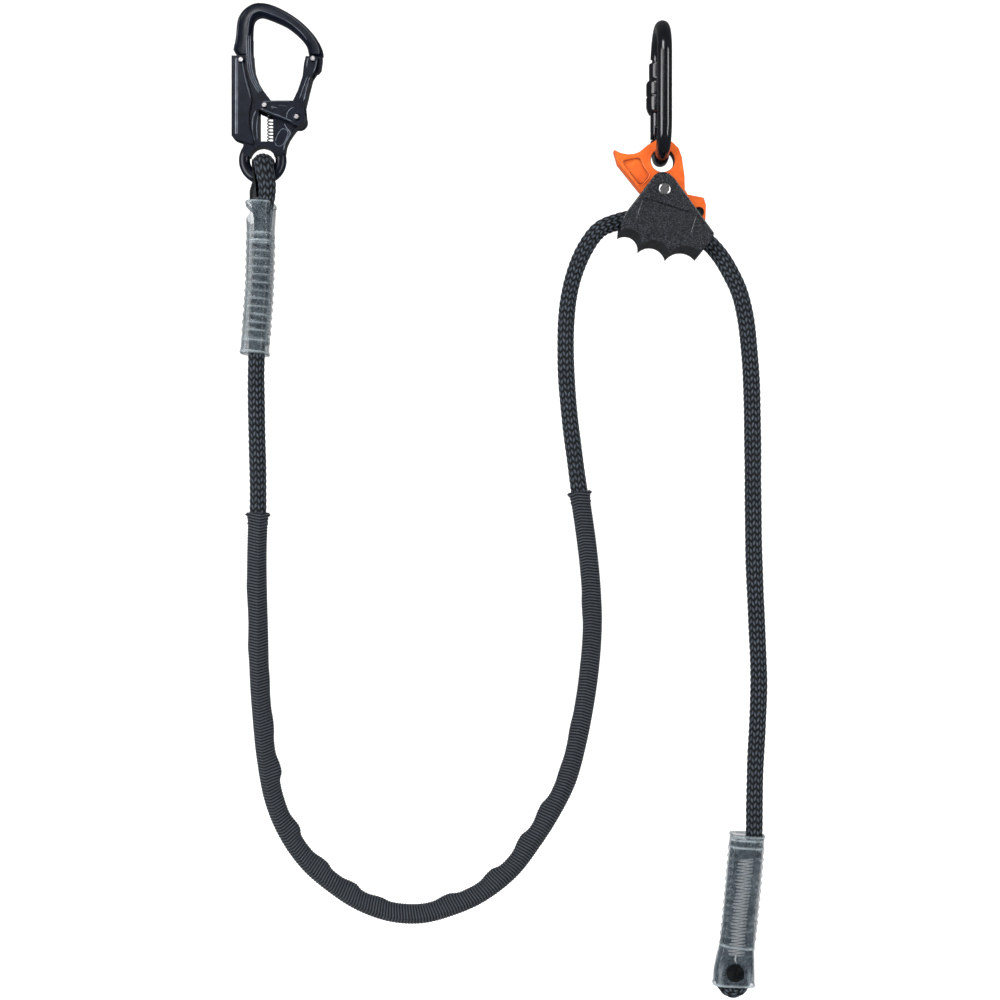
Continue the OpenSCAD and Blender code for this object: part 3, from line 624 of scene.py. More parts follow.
def tacks(name, places, across, half_width, node, seed):
    """The bar tacks of one eye; places are pairs of a line in mm and the way out of the rope."""
    vertices, faces = [], []
    for k, (line_mm, normal) in enumerate(places):
        v, f = bar_tack(through(line_mm, TACK_PITCH), np.array(across, float), np.array(normal, float),
                        half_width * MM, THREAD_R * MM, seed + k)
        faces += [[i + len(vertices) for i in face] for face in f]
        vertices += v
    obj = mesh_from(name, vertices, faces)
    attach(obj, "rope")
    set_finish(obj, "stitching")
    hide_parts(node)
    print(name, len(faces), "faces")
    return obj


end_rows = [(362.2, -630), (359.4, -655), (356.6, -680), (354.6, -701)]
end_places = [([(x, side * 6.35, z) for x, z in end_rows], (0, side, 0)) for side in (-1, 1)]
end_tacks = tacks("end_eye_bar_tacks", end_places, (1, 0, 0), 5.9, "end_stitching", seed=11)
hook_rows = [(0.5, -164), (0.4, -180), (-0.5, -205), (-2.0, -228), (-2.5, -240)]
hook_places = [([(x + side * 7.1, 0, z) for x, z in hook_rows], (side, 0, 0)) for side in (-1, 1)]
hook_tacks = tacks("hook_eye_bar_tacks", hook_places, (0, 1, 0), 4.6, "hook_end_stitching", seed=23)

# %% [markdown]
# ## The two cords
# The rope is made as two stretches. The sleeves, the stitching, the thimble and the stop screw
# with its nut, which is the fitting at its far end, sit on the long stretch.

# %% Cords
print("two cords: the main rope and the eye's back leg")

# %% [markdown]
# ## Springs
# The gate's return spring can be seen through the hook's window. It shortens as the gate opens;
# here it is an even coil of its own, riding on the hook's body. The springs inside the housing
# and the carabiner stay as the frame has them.

# %% The spring in the window
SPRING_X, SPRING_LOW, SPRING_HIGH = 6.2, -93.4, -71.0     # mm
COIL_R, COIL_TURNS, WIRE_R = 2.0, 9, 0.45


def coil_line(x, radius, turns, low, high):
    """The middle of a coiled wire, about an upright axis at x, in metres."""
    t = np.linspace(0, 1, int(turns * 28))
    a = 2 * math.pi * turns * t
    return np.stack([x + radius * np.cos(a), radius * np.sin(a), low + (high - low) * t], 1) * MM


def wire(name, line, radius, sides=8):
    """A round wire along a line, all in metres."""
    u, v = carried_frames(line, (0.1, 0.2, 1))
    turns = np.arange(sides) / sides
    rings = rings_round(line, u, v, radius, radius, turns * 2 * math.pi)
    return tube(name, rings, distances(line), turns, 2 * math.pi * radius, capped=True)


coil = coil_line(SPRING_X, COIL_R, COIL_TURNS, SPRING_LOW, SPRING_HIGH)
gate_spring = wire("gate_return_spring", coil, WIRE_R * MM)
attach(gate_spring, "hook")
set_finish(gate_spring, "spring_steel")
# Painted shade: the spring sits inside the hook's window, so it is dressed in the dark steel finish instead
# of spring wire.
gate_spring["dress"] = "dark_steel"
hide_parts("gate_spring")
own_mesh(gate_spring)
print("spring faces:", len(gate_spring.data.polygons))

# %% [markdown]
# ## Ridges and recesses of the hook
# The forged hook is full of fine lines: three ridges follow the inside of its spine, a crest
# follows its bow, and shorter lines stand on its plate, its gate and its lever. Each line is a low
# rounded bar that is half sunk in the surface, on the front and on the back. The bars are coloured
# paler than the hook, as painted highlights.

# %% Raised lines
LINE_STEP, LINE_SIDES = 0.5, 10
LINE_TIP = 1.5 * MM         # how far each end takes to rise to its full height


def raised_lines(name, body, lines, slot_name):
    """Low rounded bars; each line is (points x, y, z in mm, half width in mm, height in mm)."""
    vertices, faces = [], []
    for points, half_width, height in lines:
        for side in (1, -1):
            line = through([(x, y * side, z) for x, y, z in points], LINE_STEP)
            ahead = np.gradient(line, axis=0)
            ahead /= np.linalg.norm(ahead, axis=1)[:, None]
            out = np.tile([0.0, float(side) * (1 if points[0][1] > 0 else -1), 0.0], (len(line), 1))
            across = np.cross(ahead, out)
            across /= np.linalg.norm(across, axis=1)[:, None]
            far = distances(line)
            taper = np.clip(far / LINE_TIP, 0.15, 1) * np.clip((far[-1] - far) / LINE_TIP, 0.15, 1)
            taper = taper[:, None]
            rings = rings_round(line, across, out, half_width * MM * taper, height * MM * taper,
                                np.arange(LINE_SIDES) / LINE_SIDES * 2 * math.pi)
            faces += rod_faces(len(line), LINE_SIDES, len(vertices))
            vertices += rings.reshape(-1, 3).tolist()
    obj = mesh_from(name, vertices, faces)
    fix = bmesh.new()
    fix.from_mesh(obj.data)
    bmesh.ops.recalc_face_normals(fix, faces=fix.faces)
    fix.to_mesh(obj.data)
    fix.free()
    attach(obj, body)
    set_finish(obj, slot_name)
    print(name, len(faces), "faces")
    return obj


def beside(line, offset):
    """The line moved sideways, to its left as it runs down."""
    p = np.array(line, float)
    t = np.gradient(p, axis=0)
    t /= np.linalg.norm(t, axis=1)[:, None]
    return p + offset * np.stack([t[:, 1], -t[:, 0]], 1)


def on(y, *points):
    """The points x, z, on a face that is y from the middle."""
    return [(x, y, z) for x, z in points]


# Faces of the hook, in mm from its middle: its bow, spine, shoulder and plate
BOW_FACE, SPINE_FACE, SHOULDER_FACE, PLATE_FACE = 6.15, 6.2, 5.3, 4.45
spine = [(-6.5, -14.6), (-6.6, -22), (-6.4, -28.9), (-6.3, -33), (-5.4, -40.7), (-2.5, -48.9),
         (2.2, -56.6)]
bow_inside = [(-6.4, -14.6), (-6.3, -9.2), (-5.9, -5.2), (-4.9, -2.6), (-3.0, -0.8), (0.2, 0.0),
              (4.4, -1.2), (11.0, -3.8), (17.6, -6.8), (23.4, -10.8), (28.6, -15.6), (32.2, -20.2)]
bow_outward = [(-1, 0), (-1, 0.1), (-0.9, 0.3), (-0.8, 0.6), (-0.6, 0.8), (0, 1), (0.3, 0.95),
               (0.42, 0.9), (0.5, 0.86), (0.62, 0.78), (0.75, 0.66), (0.9, 0.4)]
crest = np.array(bow_inside) + 2.9 * np.array(bow_outward)
hook_lines = []
for offset, face_y in ((1.0, BOW_FACE), (2.4, SPINE_FACE), (3.8, SPINE_FACE)):
    ridge = [(x, np.interp(z, [-30, -26], [5.4, face_y - 0.1]), z) for x, z in beside(spine, offset)]
    hook_lines.append((ridge, 0.38, 0.55))
hook_lines += [
    (on(BOW_FACE, *crest), 0.3, 0.45),
    (on(SHOULDER_FACE, (-14.2, 1.6), (-16.0, -3.3), (-17.0, -10.9), (-17.8, -19.0),
        (-18.6, -24.0)), 0.35, 0.5),
    (on(PLATE_FACE, (10.5, -94.1), (11.9, -90.3), (14.6, -85.8), (17.6, -84.6), (20.2, -87.2),
        (19.4, -90.8), (16.8, -95.8), (14.4, -97.6), (11.4, -96.8), (10.5, -94.1)), 0.38, 0.55),
    (on(PLATE_FACE, (17.2, -80.3), (19.6, -84.4), (21.9, -87.8), (19.6, -92.4), (17.8, -96.5),
        (17.0, -101.0)), 0.5, 0.7),
    (on(PLATE_FACE, (-3.6, -70.6), (-5.6, -75), (-6.4, -80), (-6.3, -86.5), (-4.8, -94.0)), 0.42, 0.26),
    (on(PLATE_FACE, (-2.2, -74.6), (-3.0, -80), (-3.2, -86), (-2.6, -92.6)), 0.3, 0.24)]
hook_ridges = raised_lines("hook_ridges", "hook", hook_lines, "hook_black")
hook_ridges["dress"] = "painted_highlight_ridge"

GATE_FACE, TAIL_FACE = 6.2, 8.6
gate_lines = [(on(GATE_FACE, (36.6, -31.6), (35.3, -33.4), (34.6, -36.6), (34.5, -39.6)), 0.38, 0.5),
              (on(GATE_FACE, (41.2, -32.6), (41.6, -35.6), (40.6, -40.0), (39.3, -43.4)), 0.42, 0.55),
              (on(GATE_FACE, (35.2, -45.6), (33.2, -50.6), (31.0, -56.8), (28.8, -62.9)), 0.36, 0.5),
              (on(GATE_FACE, (36.9, -46.0), (35.2, -51.5), (33.6, -58.0), (32.0, -64.6)), 0.42, 0.55)]
for k in range(12):                       # serrations for the thumb
    drop = 1.25 * k
    x, z = 35.6 - 0.262 * drop, -47.4 - drop
    notch = on(GATE_FACE, (x - 1.1, z - 0.8), (x - 0.4, z - 0.3), (x + 0.5, z + 0.35))
    gate_lines.append((notch, 0.24, 0.4))
gate_lines += [(on(TAIL_FACE, *line), half_width, 0.35) for line, half_width in (
    (((8.6, -69.5), (11.0, -69.8), (13.4, -70.2)), 0.34),
    (((10.2, -68.0), (8.5, -69.4), (9.8, -71.0)), 0.34),
    (((20.6, -70.6), (21.1, -70.7), (21.7, -70.8)), 0.5),
    (((13.8, -68.2), (17.6, -68.4), (20.4, -69.2)), 0.26))]
boss = [(27.2 + 7.4 * math.cos(a), -76.8 + 7.4 * math.sin(a))
        for a in np.radians(np.arange(100, 200, 12))]
gate_lines.append((on(TAIL_FACE, *[q for q in boss if q[1] > -79.5]), 0.42, 0.5))
gate_lines.append((on(TAIL_FACE, (0.6, -70.6), (9, -74.0), (18, -77.6), (24.5, -80.4)), 0.45, 0.4))
gate_lines.append((on(TAIL_FACE, (1.6, -65.3), (12, -65.2), (22.8, -65.3)), 0.3, 0.35))
gate_ridges = raised_lines("gate_ridges", "hook_gate", gate_lines, "hook_black")
gate_ridges["dress"] = "painted_highlight_ridge"
LEVER_BACK, LEVER_CHEEK = 6.0, 6.15
lever_lines = [(on(LEVER_BACK, (-17.9, -31.4), (-18.0, -50), (-18.0, -70), (-18.1, -89.6)), 1.15, 0.45),
               (on(LEVER_CHEEK, (-13.4, -31.6), (-13.3, -36.6), (-12.4, -42.3), (-10.8, -49.9),
                   (-8.9, -56.5), (-7.6, -62.0)), 0.32, 0.4)]
lever_ridges = raised_lines("lever_edge_lines", "palm_lever", lever_lines, "hook_black")
lever_ridges["dress"] = "painted_highlight_ridge"

# %% [markdown]
# ## Lines on the rope grab
# The grab's coated body has a sunk field on each face. Pale lines on its corners and along the
# field's edges are painted highlights, and a dark line along the field's upper edge is a painted
# shadow. The cam's pocket and its eye have a raised border, with a line of painted shade inside the
# pocket. These are the same low bars as on the hook.

# %% Grab and cam lines
def border(points, y, half_width, lift, rounds=1):
    """A closed line through the points, which starts and ends in the middle of a side."""
    first, last = np.array(points[0]), np.array(points[-1])
    middle = tuple((first + last) / 2)
    loop = [middle]
    for before, here, after in zip([points[-1]] + points[:-1], points, points[1:] + [points[0]]):
        corner = np.array(here)
        for other in (before, after):
            side = np.array(other) - corner
            loop.append(tuple(corner + side / np.linalg.norm(side) * rounds))
    return ([(x, y, z) for x, z in loop + [middle]], half_width, lift)


GRAB_FACE, CAM_FACE = 17.0, 5.0
# Painted highlights: pale lines on the edges of the sunk field and on the body's corners.
edge_highlight = [(on(GRAB_FACE - 0.25, *line), half_width, 0.3) for line, half_width in (
    (((323.5, -151.2), (321.3, -158.8), (319.0, -166.2)), 0.28),
    (((284.0, -139.2), (281.5, -146.8), (279.0, -154.4)), 0.2),
    (((300.6, -120.4), (304.6, -122.4), (307.0, -124.9)), 0.3),
    (((307.0, -124.9), (321.4, -144.6), (335.6, -164.4)), 0.28),
    (((292.9, -122.6), (282.4, -136.4), (271.6, -150.4), (269.0, -156.4)), 0.24))]
grab_lines = raised_lines("grab_rubbed_edges", "grab", edge_highlight, "housing_black")
grab_lines["dress"] = "edge_highlight_coat"
recess_line = on(GRAB_FACE - 0.1, (284.3, -138.4), (303.6, -144.4), (323.4, -150.6))
recess_edge = raised_lines("grab_recess_shadow", "grab", [(recess_line, 0.42, 0.22)], "housing_black")
recess_edge["dress"] = "thimble_plastic"
pocket = [(269.6, -109.0), (283.0, -106.2), (286.6, -114.4), (290.4, -119.0), (283.4, -127.0),
          (279.0, -122.4)]
CAM_EYE, CAM_TAIL_HOLE = (299.9, -108.2), (327.0, -146.8)      # x, z in mm


def scaled(points, share):
    """The points moved towards their middle, or away from it when share is over 1."""
    middle = np.mean(points, 0)
    return [tuple(middle + (np.array(q) - middle) * share) for q in points]


eye_border = [(CAM_EYE[0] + 10.0 * math.cos(a), CAM_FACE - 0.05, CAM_EYE[1] + 10.0 * math.sin(a))
              for a in np.radians(np.arange(0, 361, 15))]
pocket_border = border(scaled(pocket, 1.1), CAM_FACE - 0.05, 0.6, 0.6, 2.0)
# Painted shade: a dark orange line just inside the pocket's border.
pocket_shade_line = border(scaled(pocket, 0.98), CAM_FACE - 0.1, 0.3, 0.14, 2.0)
raised_lines("cam_borders", "cam", [pocket_border, (eye_border, 0.45, 0.3)], "cam_orange")
cam_shade = raised_lines("cam_pocket_line", "cam", [pocket_shade_line], "cam_orange")
cam_shade["dress"] = "painted_shade_orange"

# %% The blind hole in the cam's tail
PLUG_R, PLUG_DEEP = 3.45 * MM, 6.4 * MM
blind = bmesh.new()
bmesh.ops.create_cone(blind, cap_ends=True, segments=40, radius1=PLUG_R, radius2=PLUG_R, depth=PLUG_DEEP)
bmesh.ops.rotate(blind, verts=blind.verts, matrix=Matrix.Rotation(math.radians(90), 3, "X"))
bmesh.ops.translate(blind, verts=blind.verts, vec=(CAM_TAIL_HOLE[0] * MM, 0, CAM_TAIL_HOLE[1] * MM))
corners = [e for e in blind.edges if e.calc_face_angle(0) > 1]
bmesh.ops.bevel(blind, geom=corners, offset=0.5 * MM, segments=3, affect="EDGES")
plug_mesh = bpy.data.meshes.new("cam_tail_plug")
blind.to_mesh(plug_mesh)
blind.free()
plug = linked("cam_tail_plug", plug_mesh)
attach(plug, "cam")
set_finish(plug, "dark_steel")
print("tail plug", len(plug.data.polygons), "faces")

# %% [markdown]
# ## The twist-lock sleeve
# The sleeve that locks the carabiner's gate is turned on a lathe and knurled in two bands. It is
# a wall again: the outer skin's radius follows the turned profile, and the knurl is a diamond
# pattern of the angle and the height, so it catches the light from every side.

# %% Lock sleeve
sleeve_low, sleeve_high = (np.array(c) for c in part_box("carabiner_lock_sleeve"))
axis_x, axis_y = ((sleeve_low + sleeve_high) / 2)[:2]
BORE = 5.72 * MM
SLEEVE_AROUND = 96
# The turned profile: height and radius in mm
turned = [(0, 5.9), (0.15, 6.6), (3.0, 8.05), (4.0, 8.05), (4.3, 8.35), (12.5, 8.35), (12.8, 7.4),
          (14.0, 7.4), (14.3, 8.35), (23.4, 8.35), (24.6, 7.9), (25.4, 6.42), (38.1, 6.42),
          (38.45, 6.2), (38.6, 5.95)]
height, profile_radius = np.array(turned).T
even_heights = [np.arange(4.3, 12.5, 0.35), np.arange(14.3, 23.4, 0.35), np.arange(25.4, 38, 2)]
ring_height = np.unique(np.concatenate([height] + even_heights))
turns = np.arange(SLEEVE_AROUND) / SLEEVE_AROUND * 2 * math.pi
radius = np.interp(ring_height, height, profile_radius)[:, None] * np.ones((1, SLEEVE_AROUND))
bands = ((ring_height > 4.6) & (ring_height < 12.2)) | ((ring_height > 14.6) & (ring_height < 23.1))
climb, spin = ring_height[:, None] * 2.2, 24 * turns[None, :]
knurl = np.abs(np.sin(spin + climb)) * np.abs(np.sin(spin - climb))
radius += np.where(bands[:, None], 0.42 * knurl - 0.18, 0)


def lathe_rings(radius_m):
    """Rings about the sleeve's upright axis, from a radius in metres for each of their points."""
    return np.stack([axis_x + radius_m * np.cos(turns), axis_y + radius_m * np.sin(turns),
                     sleeve_low[2] + ring_height[:, None] * MM + 0 * turns], -1)


bore = np.full(radius.shape, BORE)
lock_sleeve = shell("twist_lock_sleeve", lathe_rings(radius * MM), lathe_rings(bore))
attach(lock_sleeve, "lock_sleeve")
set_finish(lock_sleeve, "carabiner_black")
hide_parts("carabiner_lock_sleeve")
print("lock sleeve", len(lock_sleeve.data.polygons), "faces")

# %% [markdown]
# ## Softening machined edges
# No real edge is perfectly sharp: a narrow round along it catches a line of light. The frame's
# meshes are left as they are, and a Weld and a Bevel modifier round their edges on top.

# %% Rounded edges on the frame's metal
def soften(node, width_mm, angle=35, segments=3):
    obj = NODES[node]
    weld = obj.modifiers.new("weld", "WELD")
    weld.merge_threshold = 2e-6
    bevel = obj.modifiers.new("edge", "BEVEL")
    bevel.width, bevel.segments = width_mm * MM, segments
    bevel.limit_method, bevel.angle_limit = "ANGLE", math.radians(angle)
    bevel.use_clamp_overlap = True
    normals = obj.modifiers.new("shade", "WEIGHTED_NORMAL")
    normals.keep_sharp = False


EDGES = {"hook_body": 0.5, "hook_gate": 0.45, "hook_palm_lever": 0.5, "grab_housing": 0.7,
         "cam_lever": 0.8, "carabiner_body": 0.3, "carabiner_gate": 0.4, "cam_rivet": 0.3,
         "gate_pivot_rivet": 0.2, "gate_nose_rivet": 0.2, "gate_tail_pin": 0.2,
         "lever_pivot_rivet": 0.2, "end_stop_screw": 0.4, "end_stop_nut": 0.25, "hook_thimble": 0.3}
for node, width in EDGES.items():
    soften(node, width)
print("softened", len(EDGES), "nodes")

# %% [markdown]
# ## Shader groups
# Several finishes share an effect, so each effect is a node group, built once. "Fine grain"
# gives an uneven mask and height for coats and metals. "Braid strokes" repeats the rope's
# strokes from its UV map and adds the yarns in each. "Cross ribs" draws even ribs along a UV map.

# %% Node helpers
class Graph:
    """Adds and links shader nodes in few words; a link's other end may be a plain number."""

    def __init__(self, tree):
        self.tree = tree

    def add(self, kind, inputs=(), **settings):
        node = self.tree.nodes.new("ShaderNode" + kind)
        for key, value in settings.items():
            setattr(node, key, value)
        for key, value in dict(inputs).items():
            if isinstance(value, bpy.types.NodeSocket):
                self.tree.links.new(value, node.inputs[key])
            elif value is not None:
                node.inputs[key].default_value = value
        return node

    def math(self, operation, a, b=None, c=None):
        return self.add("Math", {0: a, 1: b, 2: c}, operation=operation).outputs[0]

    def place(self):
        return self.add("TexCoord").outputs["Object"]

    def noise(self, vector, scale, detail=4.0, rough=0.55):
        return self.add("TexNoise", {"Vector": vector, "Scale": scale, "Detail": detail,
                                     "Roughness": rough}).outputs["Fac"]

    def spread(self, value, low, high, to_low=0.0, to_high=1.0):
        return self.add("MapRange", {"Value": value, "From Min": low, "From Max": high,
                                     "To Min": to_low, "To Max": to_high}).outputs[0]

    def blend(self, mask, a, b):
        return self.add("Mix", {0: mask, 6: a, 7: b}, data_type="RGBA").outputs[2]

    def bump(self, height, strength, distance):
        return self.add("Bump", {"Height": height, "Strength": strength, "Distance": distance}).outputs[0]


def group(name, inputs, outputs):
    """A new group with its sockets; returns the tree, its graph, its inputs and its output node."""
    tree = bpy.data.node_groups.new(name, "ShaderNodeTree")
    for label, kind, value in inputs:
        socket = tree.interface.new_socket(label, in_out="INPUT", socket_type=kind)
        if value is not None:
            socket.default_value = value
    for label, kind in outputs:
        tree.interface.new_socket(label, in_out="OUTPUT", socket_type=kind)
    return tree, Graph(tree), tree.nodes.new("NodeGroupInput").outputs, tree.nodes.new("NodeGroupOutput")


FLOAT, VECTOR = "NodeSocketFloat", "NodeSocketVector"

# %% Fine grain
grain_group, g, given, out = group(
    "Fine grain", [("Vector", VECTOR, None), ("Scale", FLOAT, 900.0), ("Contrast", FLOAT, 0.5)],
    [("Mask", FLOAT), ("Wear", FLOAT)])
fine = g.noise(given["Vector"], given["Scale"], 3.0, 0.6)
broad = g.noise(given["Vector"], g.math("MULTIPLY", given["Scale"], 0.06), 4.0, 0.6)
steep = g.math("MULTIPLY_ADD", given["Contrast"], 6.0, 1.0)
sharp = g.math("MULTIPLY_ADD", g.math("SUBTRACT", fine, 0.5), steep, 0.5)
g.tree.links.new(g.spread(sharp, 0.0, 1.0), out.inputs["Mask"])
g.tree.links.new(g.spread(broad, 0.35, 0.68), out.inputs["Wear"])
print("made", grain_group.name)

# %% Braid strokes
braid_group, g, given, out = group(
    "Braid strokes",
    [("UV", VECTOR, None), ("Columns per metre", FLOAT, BRAID_COLUMNS / (math.pi * ROPE_D * MM)),
     ("Pitch", FLOAT, STROKE_PITCH), ("Lean", FLOAT, STROKE_LEAN), ("Yarns", FLOAT, 5.0)],
    [("Stroke", FLOAT), ("Yarn", FLOAT)])
split = g.add("SeparateXYZ", {0: given["UV"]})
column = g.math("MULTIPLY", split.outputs[0], given["Columns per metre"])
whole = g.math("FLOOR", column)
x = g.math("SUBTRACT", g.math("SUBTRACT", column, whole), 0.5)
odd = g.math("MODULO", g.math("ADD", whole, 64.0), 2.0)
lean = g.math("MULTIPLY", g.math("MULTIPLY_ADD", odd, -2.0, 1.0), given["Lean"])
leaned = g.math("MULTIPLY_ADD", lean, x, g.math("MULTIPLY", odd, 0.25))
run = g.math("ADD", g.math("DIVIDE", split.outputs[1], given["Pitch"]), leaned)
p = g.math("SUBTRACT", g.math("FRACT", run), 0.5)
crown = g.math("SUBTRACT", 1.0, g.math("POWER", g.math("ABSOLUTE", g.math("MULTIPLY", p, 2.0)), 2.4))
aside = g.math("POWER", g.math("ABSOLUTE", g.math("MULTIPLY", x, 2.0)), 3.0)
edge = g.math("MULTIPLY_ADD", aside, -0.75, 1.0)
g.tree.links.new(g.math("MULTIPLY", crown, edge), out.inputs["Stroke"])
yarn = g.math("SINE", g.math("MULTIPLY", run, g.math("MULTIPLY", given["Yarns"], math.pi)))
g.tree.links.new(g.math("ABSOLUTE", yarn), out.inputs["Yarn"])
print("made", braid_group.name)

# %% Cross ribs
rib_group, g, given, out = group(
    "Cross ribs", [("UV", VECTOR, None), ("Pitch", FLOAT, RIB_PITCH), ("Threads per metre", FLOAT, 1800.0)],
    [("Rib", FLOAT), ("Thread", FLOAT)])
split = g.add("SeparateXYZ", {0: given["UV"]})
turn = g.math("MULTIPLY", g.math("DIVIDE", split.outputs[1], given["Pitch"]), 2 * math.pi)
g.tree.links.new(g.math("MULTIPLY_ADD", g.math("COSINE", turn), 0.5, 0.5), out.inputs["Rib"])
across = g.math("MULTIPLY", given["Threads per metre"], 2 * math.pi)
thread = g.math("SINE", g.math("MULTIPLY", split.outputs[0], across))
g.tree.links.new(g.math("MULTIPLY_ADD", thread, 0.5, 0.5), out.inputs["Thread"])
print("made", rib_group.name)

# %% [markdown]
# ## Finishes
# Each finish is a Principled shader. What is the same all over, such as how metallic a coat is, is
# set on the shader's own socket. What changes from place to place, such as a braid's colour or a
# coat's gloss, comes from the groups above through the graph.

# %% Starting a finish
def start(name, **plain):
    """A new material with its plain settings; returns its graph and its shader."""
    material = bpy.data.materials.new(name)
    material.use_nodes = True
    shader = material.node_tree.nodes["Principled BSDF"]
    for label, value in plain.items():
        shader.inputs[label.replace("_", " ")].default_value = value
    return material, Graph(material.node_tree), shader


def put(g, shader, **linked_values):
    """Link values that vary to the shader's sockets."""
    for label, value in linked_values.items():
        g.tree.links.new(value, shader.inputs[label.replace("_", " ")])


def color(r, g, b):
    return (r, g, b, 1.0)


def grain_in(g, scale, contrast=0.5):
    """The Fine grain group, placed in the object's own space."""
    grain = g.add("Group", node_tree=grain_group)
    g.tree.links.new(g.place(), grain.inputs["Vector"])
    grain.inputs["Scale"].default_value = scale
    grain.inputs["Contrast"].default_value = contrast
    return grain


def gloss(g, grain, low, high, output="Mask"):
    """A roughness between low and high that follows the grain."""
    return g.spread(grain.outputs[output], 0.0, 1.0, low, high)


def woven(g, group_tree):
    """A group that follows the weave's UV map."""
    node = g.add("Group", node_tree=group_tree)
    g.tree.links.new(g.add("UVMap", uv_map="weave").outputs[0], node.inputs["UV"])
    return node.outputs


def off_axis(g, spot, x, z):
    """Distance from an axis that runs front to back through x, z."""
    across = g.math("POWER", g.math("SUBTRACT", spot.outputs[0], x), 2.0)
    upward = g.math("POWER", g.math("SUBTRACT", spot.outputs[2], z), 2.0)
    return g.math("SQRT", g.math("ADD", across, upward))


FINISH = {}
print("starting a finish: ready")

# %% [markdown]
# ## Black anodised aluminium
# The hook and the carabiner are dyed black after polishing. The metal is still there under the dye,
# so the shader is part metallic, with a thin clear coat for the sealed skin. A fine uneven gloss
# keeps it from looking like plastic.

# %% Anodised black
def anodised(name, dark, light, rough, grain_scale, bump_strength, coat=0.9, coat_rough=0.12, spec=0.45):
    material, g, shader = start(name, Metallic=0.3, Coat_Weight=coat, Coat_Roughness=coat_rough,
                                Specular_IOR_Level=spec)
    grain = grain_in(g, grain_scale, 0.3)
    put(g, shader, Base_Color=g.blend(grain.outputs["Wear"], dark, light),
        Roughness=gloss(g, grain, *rough),
        Normal=g.bump(grain.outputs["Mask"], bump_strength, 0.06 * MM))
    return material


FINISH["hook_black"] = anodised(
    "black anodised hook", color(0.0020, 0.0036, 0.0090), color(0.0046, 0.0075, 0.0165), (0.3, 0.4),
    2600.0, 0.08, coat=0.4, coat_rough=0.16, spec=0.22)
# Painted highlights: the hook's raised lines get a paler, glossier copy of the black anodising.
FINISH["painted_highlight_ridge"] = anodised(
    "painted highlight ridges", color(0.050, 0.060, 0.080), color(0.095, 0.112, 0.145), (0.14, 0.24),
    2600.0, 0.06)
FINISH["carabiner_black"] = anodised(
    "black anodised carabiner", color(0.0025, 0.0032, 0.0055), color(0.005, 0.0064, 0.0105),
    (0.13, 0.2), 1800.0, 0.04)
print("anodised finishes", len(FINISH))

# %% [markdown]
# ## Bare metals
# Rivets and pins are turned steel, the springs are drawn wire and the stop screw is blackened.
# They share one recipe: full metal, with the grain group driving how polished each spot is.

# %% Turned steel, spring wire, blackened steel and brass
def bare_metal(name, dark, light, rough, grain_scale):
    material, g, shader = start(name, Metallic=1.0)
    grain = grain_in(g, grain_scale, 0.6)
    put(g, shader, Base_Color=g.blend(grain.outputs["Wear"], light, dark),
        Roughness=gloss(g, grain, *rough),
        Normal=g.bump(grain.outputs["Mask"], 0.15, 0.04 * MM))
    return material


FINISH["steel"] = bare_metal("turned steel", color(0.48, 0.48, 0.49), color(0.7, 0.7, 0.71),
                             (0.22, 0.36), 2200.0)
HOOK_RIVETS = {"lever_pivot_rivet": (-0.0146, -0.0335), "gate_nose_rivet": (0.0390, -0.0328),
               "gate_tail_pin": (0.0033, -0.0680), "gate_pivot_rivet": (0.0272, -0.0768)}


def steel_with_shade_ring(name, x, z):
    """Turned steel that is bright on the middle of its dome, with a painted ring of shade round it."""
    material, g, shader = start(name, Metallic=1.0)
    away = off_axis(g, g.add("SeparateXYZ", {0: g.place()}), x, z)
    shade_ring_mask = g.spread(away, 1.2 * MM, 1.9 * MM)
    put(g, shader, Base_Color=g.blend(shade_ring_mask, color(0.66, 0.64, 0.66), color(0.02, 0.025, 0.035)),
        Roughness=gloss(g, grain_in(g, 2200.0), 0.24, 0.38))
    return material


for node, (x, z) in HOOK_RIVETS.items():
    FINISH[node] = steel_with_shade_ring(node.replace("_", " "), x, z)
    NODES[node]["dress"] = node
FINISH["spring_steel"] = bare_metal("spring wire", color(0.34, 0.34, 0.35), color(0.56, 0.56, 0.57),
                                    (0.25, 0.4), 3000.0)
FINISH["dark_steel"] = bare_metal("blackened steel", color(0.045, 0.05, 0.06), color(0.11, 0.118, 0.13),
                                  (0.24, 0.4), 2400.0)
FINISH["brass"] = bare_metal("brass bush", color(0.5, 0.36, 0.15), color(0.72, 0.54, 0.26),
                             (0.3, 0.42), 2200.0)
print("metal finishes", len(FINISH))

# %% [markdown]
# ## Kernmantle braid
# The strokes of the braid are shape already. The shader adds what is finer: the yarns inside each
# stroke as a bump, painted shade in the grooves between strokes, and a painted highlight along the
# crest of each stroke. Sheen is the pale bloom that the fuzz of a rope gives at its edges.

# %% Rope finish
GROOVE_SHADE, STROKE = color(0.0008, 0.0011, 0.0018), color(0.0075, 0.0105, 0.0155)
CREST_HIGHLIGHT = color(0.085, 0.108, 0.135)
material, g, shader = start("black braid", Sheen_Weight=0.03, Sheen_Roughness=0.4, Specular_IOR_Level=0.25)
braid = woven(g, braid_group)
grain = grain_in(g, 3200.0)
